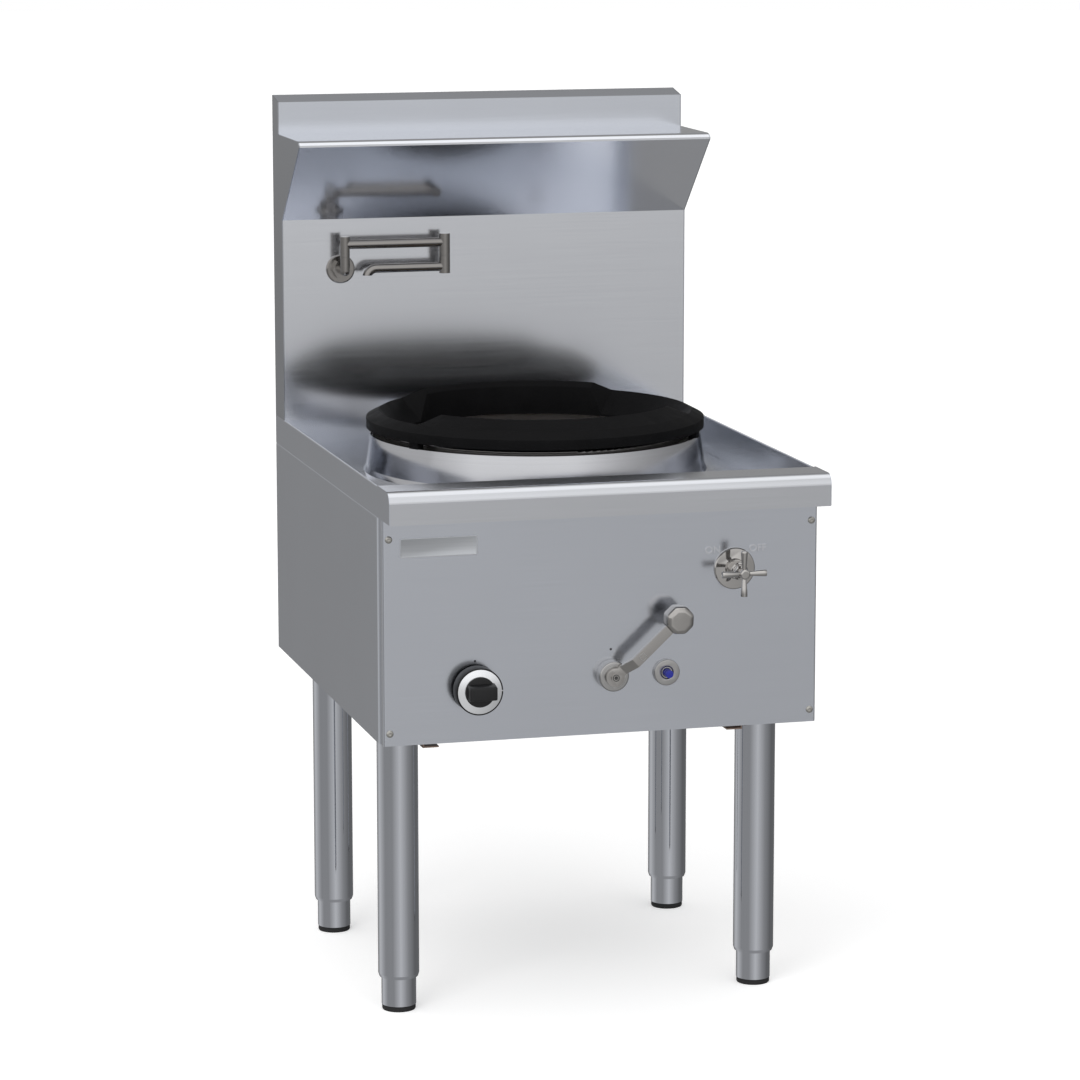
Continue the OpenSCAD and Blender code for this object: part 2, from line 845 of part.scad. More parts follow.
// Pan of the combustion chamber: floor with the burner hole and an upright shell
module chamber_pan() {
    color("#77797e") translate([0, ring_y, 0]) rotate_extrude($fn = 180) polygon([
        [vent_r, pan_z - pan_t],
        [shell_r + pan_rim, pan_z - pan_t],
        [shell_r + pan_rim, pan_z],
        [shell_r, pan_z],
        [shell_r, insulation_top + over],
        [shell_r - sheet, insulation_top + over],
        [shell_r - sheet, pan_z],
        [vent_r, pan_z]
    ]);
}

// Insulation packed between the shell and the fire bowl
module insulation() {
    color("#3a3a3c") translate([0, ring_y, 0]) rotate_extrude($fn = 180) polygon([
        [bowl_r + loose, bowl_bend_z],
        [shell_r - sheet - loose, bowl_bend_z],
        [shell_r - sheet - loose, insulation_top],
        [bowl_r + loose, insulation_top]
    ]);
}

// Fire bowl: cone over the pan, upright wall and rolled lip
module fire_bowl() {
    lip_r = 2;
    lip_z = collar_z + lip_rise;
    line = [
        [bowl_foot_r, pan_z],
        [bowl_foot_r, pan_z + bowl_foot_h],
        [bowl_r, bowl_bend_z],
        [bowl_r, lip_z]
    ];
    seat_w = shell_r - sheet - loose - bowl_r;
    color("#8a8a8c") translate([0, ring_y, 0]) rotate_extrude($fn = 180) {
        polygon(folded(line, bowl_t));
        translate([bowl_r - bowl_t / 2, lip_z]) circle(lip_r);
        translate([bowl_r - bowl_t / 2, bowl_bend_z - bowl_t]) square([seat_w + bowl_t / 2, bowl_t]);
    }
}

// Two cross rails and two straps that carry the pan and the burner
module burner_frame() {
    rail_half = frame_w / 2;
    frame_h = pan_z - pan_t - frame_z;
    color("#6f7176") {
        for (s = [-1, 1]) across(2 * inner_x) translate([ring_y + s * frame_off - rail_half, frame_z]) difference() {
            square([frame_w, frame_h]);
            translate([rail_t, rail_t]) square([frame_w - 2 * rail_t, frame_h]);
        }
        for (s = [-1, 1]) block(
            [s * strap_x - rail_half, ring_y - frame_off - rail_half, frame_z - frame_t],
            [s * strap_x + rail_half, ring_y + frame_off + rail_half, frame_z]
        );
    }
}

module jet_places() {
    for (i = [-2 : 2], j = [-2 : 2]) if (abs(i + j) <= 2)
        translate([jet_pitch * (i + j / 2), ring_y + jet_pitch * j * sin(60), burner_top]) children();
}

// Cast burner body with feet on the straps and a neck for the mixing tube
module burner_body() {
    shoulder = 6;
    neck_rim = 3;
    socket_d = 8;
    color("#4b4c50") difference() {
        union() {
            translate([0, ring_y, 0]) rotate_extrude() polygon([
                [0, burner_z],
                [burner_r - 2 * shoulder, burner_z],
                [burner_r, burner_z + 2 * shoulder],
                [burner_r, burner_top - shoulder],
                [burner_r - shoulder, burner_top],
                [0, burner_top]
            ]);
            for (s = [-1, 1]) translate([s * strap_x, ring_y, (frame_z + burner_z + shoulder) / 2])
                cube([frame_w - 2 * shoulder, 2 * frame_w, burner_z + shoulder - frame_z], center = true);
            translate([lever_x, ring_y, frame_z]) cylinder(h = burner_z - frame_z + shoulder, r = mixer_r + neck_rim);
        }
        jet_places() translate([0, 0, -socket_d]) cylinder(h = socket_d + over, r = jet_spigot_r + running);
        translate([lever_x, ring_y, frame_z - over]) cylinder(h = burner_z - frame_z + shoulder, r = throat_r);
    }
}

// Upright brass jets with flattened, slotted mouths
module burner_jets() {
    spigot_l = 7;
    nut_l = 9;
    nut_r = 9;
    tube_r = 7;
    tip_r = 5.5;
    taper_l = 22;
    slot_w = 2.4;
    slot_l = 14;
    flat_w = 7;
    color("#b08d4a") jet_places() difference() {
        union() {
            translate([0, 0, -spigot_l]) cylinder(h = spigot_l, r = jet_spigot_r);
            cylinder(h = nut_l, r = nut_r, $fn = 6);
            translate([0, 0, nut_l]) cylinder(h = jet_h - nut_l - taper_l, r = tube_r);
            translate([0, 0, jet_h - taper_l]) cylinder(h = taper_l, r1 = tube_r, r2 = tip_r);
        }
        translate([-tube_r - over, -slot_w / 2, jet_h - slot_l]) cube([2 * (tube_r + over), slot_w, slot_l + over]);
        for (s = [0, 1]) mirror([0, s, 0]) translate([-nut_r, flat_w / 2, jet_h - taper_l / 2])
            cube([2 * nut_r, nut_r, taper_l]);
        translate([0, 0, -spigot_l - over]) cylinder(h = jet_h - slot_l + spigot_l + 2 * over, r = tip_r / 2);
    }
}

// Mixing tube: bell mouth, throat, widening run and a bend up to the burner
module mixing_tube() {
    wall = 2.5;
    bell_r = throat_r + 14;
    bell_l = 30;
    throat_l = 18;
    run_end = ring_y - mixer_bend;
    run_l = run_end - mixer_y;
    cone_l = 90;
    outer = [
        [bell_r, 0],
        [throat_r + wall, bell_l],
        [throat_r + wall, bell_l + throat_l],
        [mixer_r, bell_l + throat_l + cone_l],
        [mixer_r, run_l]
    ];
    color("#5d5f64") {
        framed([lever_x, mixer_y, mixer_z], [1, 0, 0], [0, 0, -1]) rotate_extrude()
            polygon(folded(outer, wall));
        framed([lever_x, run_end, frame_z], [0, 0, -1], [0, 1, 0]) rotate_extrude(angle = 90)
            translate([mixer_bend, 0]) difference() {
                circle(mixer_r);
                circle(mixer_r - wall);
            }
    }
}

// A place beside the burner, to its left and in front of its centre
function beside_burner(side, front, z) = [-side, ring_y - front, z];

// Bracket with the pilot jet and its tube, the thermocouple and the spark electrode
module pilot_set() {
    pilot_side = burner_r + 3;
    pilot_front = 36;
    thermo_side = burner_r - 10;
    thermo_front = 59;
    spark_side = burner_r + 9;
    spark_front = 9;
    bracket_from = 180;
    bracket_turn = 40;
    bracket_z = burner_top - 18;
    bracket_t = 3;
    top = burner_top + 24;
    valve_top = base_z + knob_up + 22;
    tube_r = 3;
    lead_r = 1.6;
    head_r = 5;
    head_l = 18;
    lead_off = 12;
    tube_z = frame_z - 20;
    lead_z = frame_z - 40;
    jet = beside_burner(pilot_side, pilot_front, top);
    tip = beside_burner(thermo_side, thermo_front, top);
    rod = beside_burner(spark_side, spark_front, bracket_z - head_l);
    color("#a58b5c") {
        translate([0, ring_y, bracket_z]) rotate([0, 0, bracket_from]) rotate_extrude(angle = bracket_turn)
            translate([burner_r + running, 0]) square([vent_r - burner_r - loose, bracket_t]);
        pipe([
            [knob_x, port_y, valve_top],
            [knob_x, port_y, tube_z],
            [knob_x, jet[1], tube_z],
            [jet[0], jet[1], tube_z],
            jet - [0, 0, head_l]
        ], tube_r, small_bend);
        bar(jet - [0, 0, head_l], jet, head_r);
        pipe([
            [knob_x + lead_off, port_y, valve_top],
            [knob_x + lead_off, port_y, lead_z],
            [knob_x + lead_off, tip[1], lead_z],
            [tip[0], tip[1], lead_z],
            tip - [0, 0, head_l]
        ], lead_r, small_bend);
        bar(tip - [0, 0, head_l], tip, tube_r);
        bar(rod, rod + [0, 0, 2 * head_l], tube_r);
        bar(rod + [0, 0, 2 * head_l], rod + [0, 0, 3 * head_l], lead_r);
    }
}

// Gas valve body behind the knob
module gas_valve() {
    side = 44;
    near = 8;
    far = 60;
    boss_r = 12;
    color("#a88f55") at_panel(knob_x, knob_up) difference() {
        union() {
            translate([-side / 2, -side / 2, -far]) cube([side, side, far - near]);
            translate([0, 0, -near]) cylinder(h = near - sheet, r = boss_r);
        }
        translate([0, 0, -port_back - over]) cylinder(h = port_back + 2 * over, r = gas_spindle_r + running);
    }
}

module knee_valve() {
    side = 40;
    near = 10;
    far = 68;
    boss_r = 13;
    color("#a88f55") at_panel(lever_x, lever_up) difference() {
        union() {
            translate([-side / 2, -side / 2, -far]) cube([side, side, far - near]);
            translate([0, 0, -near]) cylinder(h = near - sheet, r = boss_r);
        }
        translate([0, 0, -port_back - over]) cylinder(h = port_back + 2 * over, r = lever_pin_r + running);
    }
}

// Gas inlet pipe with its rear nipple, the link between the valves and the injector's feed
module gas_pipes() {
    link_z = base_z + (knob_up + lever_up) / 2;
    link_r = 8;
    feed_r = 7;
    feed_bend = 16;
    injector_r = 9;
    injector_l = 16;
    nozzle_r = 4;
    valve_half = 22;
    knee_half = 20;
    knee_far = 68;
    rise_y = panel_y + knee_far + 33;
    color("#8b8d92") {
        pipe([
            [-gas_x, rear_y - nipple_in, gas_z],
            [-gas_x, port_y, gas_z],
            [knob_x, port_y, gas_z],
            [knob_x, port_y, base_z + knob_up - valve_half]
        ], gas_pipe_r, gas_bend);
        bar([-gas_x, rear_y - nipple_in - nipple_l, gas_z], [-gas_x, rear_y - nipple_in, gas_z], gas_thread_r);
        bar([knob_x + valve_half, port_y, link_z], [lever_x - knee_half, port_y, link_z], link_r);
        pipe([
            [lever_x, panel_y + knee_far, base_z + lever_up],
            [lever_x, rise_y, base_z + lever_up],
            [lever_x, rise_y, mixer_z],
            [lever_x, mixer_y - injector_l, mixer_z]
        ], feed_r, feed_bend);
        bar([lever_x, mixer_y - injector_l, mixer_z], [lever_x, mixer_y, mixer_z], injector_r);
        bar([lever_x, mixer_y, mixer_z], [lever_x, mixer_y + injector_l, mixer_z], nozzle_r);
    }
}

module water_valve() {
    body_r = 17;
    far = 60;
    stub_r = 11;
    color("#a88f55") at_panel(valve_x, valve_up) difference() {
        union() {
            translate([0, 0, -far]) cylinder(h = far - water_near, r = body_r);
            translate([0, -water_stub, -port_back]) rotate([-90, 0, 0]) cylinder(h = 2 * water_stub, r = stub_r);
        }
        translate([0, 0, -water_near - gland_seat]) cylinder(h = gland_seat + over, r = gland_r + running);
        translate([0, 0, -port_back - over]) cylinder(h = port_back, r = water_spindle_r + running);
    }
}

// Water inlet pipe with its rear nipple, and the feed that climbs to the tap
module water_pipes() {
    color("#b07a52") {
        pipe([
            [gas_x, rear_y - nipple_in, water_z],
            [gas_x, port_y, water_z],
            [valve_x, port_y, water_z],
            [valve_x, port_y, base_z + valve_up - water_stub]
        ], water_pipe_r, water_bend);
        bar([gas_x, rear_y - nipple_in - nipple_l, water_z], [gas_x, rear_y - nipple_in, water_z], water_thread_r);
        pipe([
            [valve_x, port_y, base_z + valve_up + water_stub],
            [valve_x, port_y, feed_z],
            [feed_x, port_y, feed_z],
            [feed_x, feed_y, feed_z],
            [tap_x, feed_y, feed_z],
            [tap_x, feed_y, tap_z],
            [tap_x, splash_y + sheet, tap_z]
        ], water_pipe_r, water_bend);
    }
}

// Waste fitting with a sieve, and the pipe down through the base
module waste_pipe() {
    flange_t = 2;
    wall = 1.5;
    sieve_d = 3;
    sieve_t = 1.5;
    hole_r = 2;
    hole_pitch = 6;
    pipe_r = waste_r - wall;
    color("#9b9da4") translate([waste_x, waste_y, 0]) {
        difference() {
            union() {
                translate([0, 0, floor_z]) cylinder(h = flange_t, r = waste_flange_r);
                translate([0, 0, waste_end]) cylinder(h = floor_z + flange_t - waste_end, r = pipe_r);
                translate([0, 0, waste_end]) cylinder(h = waste_thread_l, r = waste_r);
            }
            translate([0, 0, waste_end - over])
                cylinder(h = floor_z + flange_t - waste_end + 2 * over, r = pipe_r - wall);
        }
        translate([0, 0, floor_z + flange_t - sieve_d]) difference() {
            cylinder(h = sieve_t, r = pipe_r - wall / 2);
            for (i = [-2 : 2], j = [-2 : 2]) if (abs(i + j) <= 2)
                translate([hole_pitch * (i + j / 2), hole_pitch * j * sin(60), -over])
                    cylinder(h = sieve_t + 2 * over, r = hole_r, $fn = 24);
        }
    }
}

// Front line of the splashback, from the hob rim to the back of the shelf
function splash_line() = [
    [splash_y, hob_h],
    [splash_y, hob_h + lower_h],
    [shelf_y, shelf_z - shelf_drop],
    [shelf_y, shelf_z - shelf_drop + nose_lip],
    [shelf_y + nose_mid, shelf_z - nose_soft],
    [shelf_y + nose_crown, shelf_z],
    [upper_y, shelf_z]
];

// Line of the part above the shelf, from its flange at the shelf's edge over the sloping top and down the back
function rear_line() = [
    [upper_y, shelf_z - shelf_weld],
    [upper_y, overall_h - top_fall],
    [rear_y, overall_h],
    [rear_y, hob_z]
];

module splash_cheeks() {
    color("#8f9198") both_sides() translate([half_w - sheet / 2, 0, 0]) across(sheet)
        polygon(concat(splash_line(), [for (i = [1 : 2]) rear_line()[i]], [[rear_y, hob_h]]));
}

// Folded skin: lower face, sloping underside, nose and shelf, welded to the upper part's flange
module splash_front() {
    color("#9a9ca3") difference() {
        across(2 * inner_x) polygon(folded(splash_line(), -sheet));
        translate([tap_x, splash_y - over, tap_z]) rotate([-90, 0, 0])
            cylinder(h = sheet + 2 * over, r = tap_plug_r + loose);
    }
}

module splash_rear() {
    color("#8f9198") across(2 * inner_x) polygon(folded(rear_line(), -sheet));
}

// Wall flange, nut, stub and the fixed half of the riser with its pin
module tap_base() {
    flange_r = 22.5;
    flange_t = 4;
    nut_r = 15;
    nut_l = 12;
    color("#8a8684") {
        translate([tap_x, splash_y, tap_z]) rotate([90, 0, 0]) {
            cylinder(h = flange_t / 2, r = flange_r);
            translate([0, 0, flange_t / 2]) cylinder(h = flange_t / 2, r1 = flange_r, r2 = flange_r - flange_t / 2);
            translate([0, 0, flange_t]) cylinder(h = nut_l, r = nut_r, $fn = 6);
            translate([0, 0, -sheet]) cylinder(h = sheet + over, r = tap_plug_r);
            cylinder(h = tap_off, r = riser_r - running);
        }
        translate([tap_x, tap_y, tap_z]) {
            sphere(riser_r);
            cylinder(h = riser_split - tap_z, r = riser_r);
            cylinder(h = arm_z - tap_r - tap_z, r = tap_pin_r);
        }
    }
}

// Upper arm with the sleeve on the riser and the upper half of the outer joint
module tap_arm() {
    sleeve_top = arm_z + 12.4;
    knuckle_top = arm_z + 13.6;
    pin_end = knuckle_split - 18;
    knee_x = tap_x + tap_arm_len;
    color("#8a8684") {
        difference() {
            union() {
                bar([tap_x, tap_y, riser_split + joint_gap], [tap_x, tap_y, sleeve_top], riser_r);
                bar([tap_x, tap_y, arm_z], [knee_x, tap_y, arm_z], tap_r);
            }
            bar([tap_x, tap_y, tap_z], [tap_x, tap_y, arm_z - tap_r + joint_gap], tap_pin_r + running);
        }
        bar([knee_x, tap_y, knuckle_split + joint_gap], [knee_x, tap_y, knuckle_top], knuckle_r);
        bar([knee_x, tap_y, pin_end], [knee_x, tap_y, arm_z], tap_pin_r);
    }
}

// Lower arm with the lower half of the outer joint and the turned-down spout
module tap_spout() {
    knee_x = tap_x + tap_arm_len;
    knuckle_low = spout_z - 10.2;
    spout_end = spout_z - 10.5;
    bend_x = knee_x - spout_len;
    turn = 80;
    wall = 1.5;
    color("#8a8684") {
        difference() {
            union() {
                bar([knee_x, tap_y, knuckle_low], [knee_x, tap_y, knuckle_split], knuckle_r);
                bar([knee_x, tap_y, spout_z], [bend_x, tap_y, spout_z], tap_r);
            }
            bar([knee_x, tap_y, knuckle_low + wall], [knee_x, tap_y, knuckle_split + over], tap_pin_r + running);
        }
        intersection() {
            framed([bend_x, tap_y, spout_z - spout_bend], [0, 0, 1], [-1, 0, 0])
                rotate_extrude(angle = turn) translate([spout_bend, 0]) difference() {
                    circle(tap_r);
                    circle(tap_r - wall);
                }
            block(
                [bend_x - 3 * spout_bend, tap_y - 2 * tap_r, spout_end],
                [bend_x + over, tap_y + 2 * tap_r, spout_z + 2 * tap_r]
            );
        }
    }
}

module badge_plate() {
    corner = 2.5;
    left_x = -half_w + badge_inset;
    top_up = panel_h - badge_drop;
    color("#6d6f75") at_panel(left_x, top_up - badge_h) linear_extrude(badge_t) {
        translate([corner, 0]) square([badge_w - 2 * corner, badge_h]);
        translate([0, corner]) square([badge_w, badge_h - 2 * corner]);
        for (x = [corner, badge_w - corner], y = [corner, badge_h - corner]) translate([x, y]) circle(corner);
    }
}

// Black skirt of the gas knob, hollow behind, with a bore for the spindle
module knob_skirt() {
    knob_r = knob_d / 2;
    rear = knob_push + 2;
    wall = 3;
    bevel = 1;
    web = 5;
    boss_r = 10;
    color("#1d1d1f") at_panel(knob_x, knob_up) rotate_extrude() polygon([
        [gas_spindle_r + running, rear],
        [boss_r, rear],
        [boss_r, knob_face - web],
        [knob_r - wall, knob_face - web],
        [knob_r - wall, rear],
        [knob_r, rear],
        [knob_r, knob_face - bevel],
        [knob_r - bevel, knob_face],
        [gas_spindle_r + running, knob_face]
    ]);
}

module dial_ring() {
    rim = 1.2;
    color("#d0d4dc") at_panel(knob_x, knob_up) translate([0, 0, knob_face])
        tube(knob_d / 2 - rim, hub_d / 2 + running, dial_t);
}

// Black hub with the grip bar and its pointer
module knob_grip() {
    hub_r = hub_d / 2;
    hub_t = 4;
    soft = 3;
    half = grip_w / 2;
    bar_h = grip_front - knob_face;
    color("#3a3b3d") at_panel(knob_x, knob_up) translate([0, 0, knob_face]) difference() {
        union() {
            cylinder(h = hub_t, r = hub_r);
            intersection() {
                rotate([90, 0, 90]) linear_extrude(4 * hub_r, center = true) polygon([
                    [-half, 0], [half, 0], [half - 1, bar_h - soft],
                    [half - soft, bar_h], [soft - half, bar_h], [1 - half, bar_h - soft]
                ]);
                translate([0, 0, dial_t + running]) linear_extrude(bar_h) union() {
                    circle(hub_r);
                    polygon([[0, half], [hub_r, half], [pointer_reach, 0], [hub_r, -half], [0, -half]]);
                }
            }
        }
        translate([0, 0, -over]) cylinder(h = spindle_reach - knob_face + knob_push + 2 * over,
            r = gas_spindle_r + running);
    }
}

module gas_spindle() {
    color("#b9bbc0") at_panel(knob_x, knob_up) translate([0, 0, -port_back + over])
        cylinder(h = port_back - over + spindle_reach, r = gas_spindle_r);
}

module lever_flange() {
    edge = 1.5;
    flange_r = flange_d / 2;
    color("#9a9896") at_panel(lever_x, lever_up) rotate_extrude() polygon([
        [lever_hole_r, 0],
        [flange_r, 0],
        [flange_r, flange_face - edge],
        [flange_r - edge, flange_face],
        [lever_hole_r, flange_face]
    ]);
}

// Octagonal block over its flats, from height low to high, with its front and rear edges bevelled to a facet
module bevelled_octagon(w, facet, low, high, bevel) {
    side_turn = 45;
    slope = (w - facet) / 2 / bevel;
    out = over * slope;
    difference() {
        translate([0, 0, low]) rotate([0, 0, side_turn / 2]) cylinder(h = high - low, r = w / 2 / cos(side_turn / 2), $fn = 8);
        for (i = [0 : 7]) rotate([0, 0, side_turn * i]) rotate([90, 0, 0]) linear_extrude(w, center = true) {
            polygon([[facet / 2 - out, high + over], [w / 2 + out, high - bevel - over], [w / 2 + out, high + over]]);
            polygon([[facet / 2 - out, low - over], [w / 2 + out, low - over], [w / 2 + out, low + bevel + over]]);
        }
    }
}

// Cranked flat arm with a round hub end and the bevelled end block
module knee_lever() {
    hub_r = lever_hub_d / 2;
    bend_in = 15;
    bend_out = 34;
    block_rear = arm_front - 8;
    bevel = 5;
    line = [[-hub_r - over, hub_front], [bend_in, hub_front], [bend_out, arm_front], [lever_len, arm_front]];
    color("#a9a8a8") at_panel(lever_x, lever_up) difference() {
        union() {
            rotate([0, 0, lever_tilt]) {
                intersection() {
                    rotate([90, 0, 0]) linear_extrude(3 * hub_r, center = true) polygon(folded(line, -lever_t));
                    linear_extrude(block_front) union() {
                        circle(hub_r);
                        translate([0, -lever_w / 2]) square([lever_len + over, lever_w]);
                    }
                }
                translate([lever_len, 0, 0]) bevelled_octagon(block_w, facet_w, block_rear, block_front, bevel);
            }
        }
        translate([0, 0, hub_front - 2 * lever_t]) cylinder(h = 3 * lever_t, r = lever_pin_r + running);
    }
}

// Spindle of the knee valve with the socket screw that holds the lever
module knee_spindle() {
    head_r = 6.5;
    head_h = 2.5;
    socket_r = 2.9;
    socket_d = 2;
    color("#8c8b8a") at_panel(lever_x, lever_up) difference() {
        union() {
            translate([0, 0, -port_back + over]) cylinder(h = port_back - over + hub_front, r = lever_pin_r);
            translate([0, 0, hub_front]) cylinder(h = head_h, r = head_r);
        }
        translate([0, 0, hub_front + head_h - socket_d]) cylinder(h = socket_d + over, r = socket_r, $fn = 6);
    }
}

module button_bezel() {
    bezel_r = bezel_d / 2;
    edge = 1.2;
    color("#a8a7a5") at_panel(button_x, button_up) rotate_extrude() polygon([
        [bezel_hole_d / 2, 0],
        [bezel_r, 0],
        [bezel_r, bezel_t - edge],
        [bezel_r - edge, bezel_t],
        [bezel_hole_d / 2 + edge, bezel_t],
        [bezel_hole_d / 2, bezel_t - edge]
    ]);
}

// Plunger of the igniter, with the collar that keeps it in its body
module igniter_button() {
    soft = 0.8;
    inside = 8;
    button_r = plunger_d / 2;
    color("#2b3fa0") at_panel(button_x, button_up) rotate_extrude() polygon([
        [0, -inside],
        [button_r, -inside],
        [button_r, plunger_front - soft],
        [button_r - soft, plunger_front],
        [0, plunger_front]
    ]);
}

module igniter_body() {
    body_r = 14;
    body_l = 50;
    bore_l = 30;
    color("#2a2a2c") at_panel(button_x, button_up) difference() {
        union() {
            translate([0, 0, -body_l]) cylinder(h = body_l - sheet, r = body_r);
            translate([0, 0, -sheet - over]) cylinder(h = bezel_t - 2 * running + sheet, r = neck_r);
        }
        translate([0, 0, -bore_l]) cylinder(h = bore_l + bezel_t + over, r = plunger_d / 2 + running);
    }
}

// Chromed flange, bonnet and gland nut of the water valve
module valve_flange() {
    flange_r = valve_flange_d / 2;
    edge = 1.5;
    neck_r_low = 15;
    neck_h = 10;
    bonnet_top = 24;
    gland_top = 34;
    gland_nut_r = 10;
    inside = water_near + gland_seat;
    color("#b5b5b8") at_panel(valve_x, valve_up) difference() {
        union() {
            rotate_extrude() polygon([
                [0, 0],
                [flange_r, 0],
                [flange_r, valve_flange_t - edge],
                [flange_r - edge, valve_flange_t],
                [neck_r_low, valve_flange_t],
                [neck_r_low - edge, neck_h],
                [0, neck_h]
            ]);
            translate([0, 0, -inside]) cylinder(h = bonnet_top + inside, r = gland_r);
            translate([0, 0, bonnet_top]) cylinder(h = gland_top - bonnet_top, r = gland_nut_r, $fn = 6);
        }
        translate([0, 0, -inside - over]) cylinder(h = gland_top + inside + 2 * over, r = water_spindle_r + running);
    }
}

// Cross handle with four flared arms, on its spindle
module water_handle() {
    hub_r = 8.5;
    hub_low = 37;
    arm_up = 43;
    cap_r = 7.5;
    tip_r = arm_tip_d / 2;
    color("#a5a5a8") at_panel(valve_x, valve_up) {
        translate([0, 0, -port_back + over]) cylinder(h = port_back - over + hub_low, r = water_spindle_r);
        translate([0, 0, hub_low]) cylinder(h = arm_up + tip_r - hub_low, r = hub_r);
        translate([0, 0, handle_front - cap_r]) sphere(cap_r);
        for (a = [0 : 90 : 270]) rotate([0, 0, a]) translate([0, 0, arm_up]) rotate([0, 90, 0]) {
            cylinder(h = handle_reach - tip_r, r1 = arm_root_d / 2, r2 = tip_r);
            translate([0, 0, handle_reach - tip_r]) sphere(tip_r);
        }
    }
}

function at_angle(r, a, z) = [r * cos(a), r * sin(a), z];

// Everything on the crest side of the ramp that rises from angle foot_a to angle crest_a
module beyond_ramp(foot_a, crest_a) {
    low = at_angle(dip_r, foot_a, dip_z);
    high = at_angle(crest_r, crest_a, crest_z);
    throat = at_angle(mouth_r, foot_a, dish_end_z);
    x = unit(high - low);
    n = unit(cross(x, throat - low));
    toward = at_angle(crest_r, crest_a + (crest_a - foot_a), crest_z) - low;
    z = n * toward > 0 ? n : -n;
    framed(low, x, cross(z, x)) translate([-2 * ring_r, -2 * ring_r, 0]) cube(4 * ring_r);
}

// Cast ring: low scooped sides, high front and rear sectors between slanted ramps, and three lugs
module wok_ring() {
    under_cone = band_top - cast_t;
    dish_in = mouth_r + cast_t * sqrt(2);
    rear_a = 90 - rear_half;
    front_a = 270 - front_half;
    end_wall = 5;
    lug_in = 240;
    lug_out = 252;
    nose_w = 5;
    nose_h = 2;
    lug_root = 5;
    dish_meet_r = (under_cone + ring_r * cone_slope + dish_in - dish_end_z) / (1 + cone_slope);
    color("#232323") translate([0, ring_y, 0]) {
        difference() {
            union() {
                rotate_extrude($fn = 180) polygon([
                    [ring_r, band_z],
                    [ring_r, band_top],
                    [dip_r, dip_z],
                    [mouth_r, dish_end_z],
                    [mouth_r, skirt_z],
                    [dish_in + skirt_z - dish_end_z, skirt_z],
                    [dish_meet_r, dish_meet_r - dish_in + dish_end_z],
                    [ring_r - cast_t, under_cone + cast_t * cone_slope],
                    [ring_r - cast_t, band_z]
                ]);
                for (m = [[rear_a, 90], [front_a, 270]]) intersection() {
                    rotate_extrude($fn = 180) polygon([
                        [ring_r - cast_t, band_z],
                        [ring_r, band_z],
                        [ring_r, band_top],
                        [crest_r, crest_z],
                        [mouth_r, crest_z - chamfer_h],
                        [mouth_r, dish_end_z]
                    ]);
                    beyond_ramp(m[0] - ramp_turn, m[0]);
                    mirror([1, 0, 0]) beyond_ramp(m[0] - ramp_turn, m[0]);
                }
            }
            for (m = [[rear_a, rear_half], [front_a, front_half]])
                rotate([0, 0, m[0] + end_wall]) rotate_extrude(angle = 2 * (m[1] - end_wall), $fn = 180) polygon([
                    [mouth_r + cast_t, skirt_z - over],
                    [mouth_r + cast_t, crest_z - cast_t - over],
                    [ring_r - cast_t, under_cone + cast_t * cone_slope],
                    [ring_r - cast_t, skirt_z - over]
                ]);
        }
        for (a = [90, 210, 330]) rotate([0, 0, a]) {
            block([lug_in, -lug_w / 2, collar_z], [lug_out, lug_w / 2, band_z + lug_root]);
            block([lug_in, -lug_w / 2, collar_z - nose_h], [lug_in + nose_w, lug_w / 2, collar_z + nose_h]);
        }
    }
}

side_panel_left();
side_panel_right();
front_panel();
back_panel();
base_tray();
base_rails();
leg_plates();
leg_bolts();
leg_front_left();
leg_front_right();
leg_rear_left();
leg_rear_right();
foot_front_left();
foot_front_right();
foot_rear_left();
foot_rear_right();
pad_front_left();
pad_front_right();
pad_rear_left();
pad_rear_right();
hob_floor();
hob_front();
hob_sides();
chimney_collar();
chamber_pan();
insulation();
fire_bowl();
burner_frame();
burner_body();
burner_jets();
mixing_tube();
pilot_set();
gas_pipes();
gas_valve();
knee_valve();
water_pipes();
water_valve();
waste_pipe();
splash_cheeks();
splash_front();
splash_rear();
tap_base();
tap_arm();
tap_spout();
badge_plate();
panel_screws();
knob_skirt();
dial_ring();
knob_grip();
gas_spindle();
lever_flange();
knee_lever();
knee_spindle();
button_bezel();
igniter_button();
igniter_body();
valve_flange();
water_handle();
wok_ring();
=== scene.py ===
# %% [markdown]
# A single-burner wok range in stainless steel: a cabinet on four tube legs, a sunken hob with a polished chimney
# and a cast wok ring, a splashback with a shelf and a folding tap, and its controls on the front panel.
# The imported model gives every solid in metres, in one frame. It is loaded first and stays where it is. This
# lesson gives its parts their finishes and remodels the small parts whose rounded edges catch the light.

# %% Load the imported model
import math
import bpy
from mathutils import Matrix, Vector


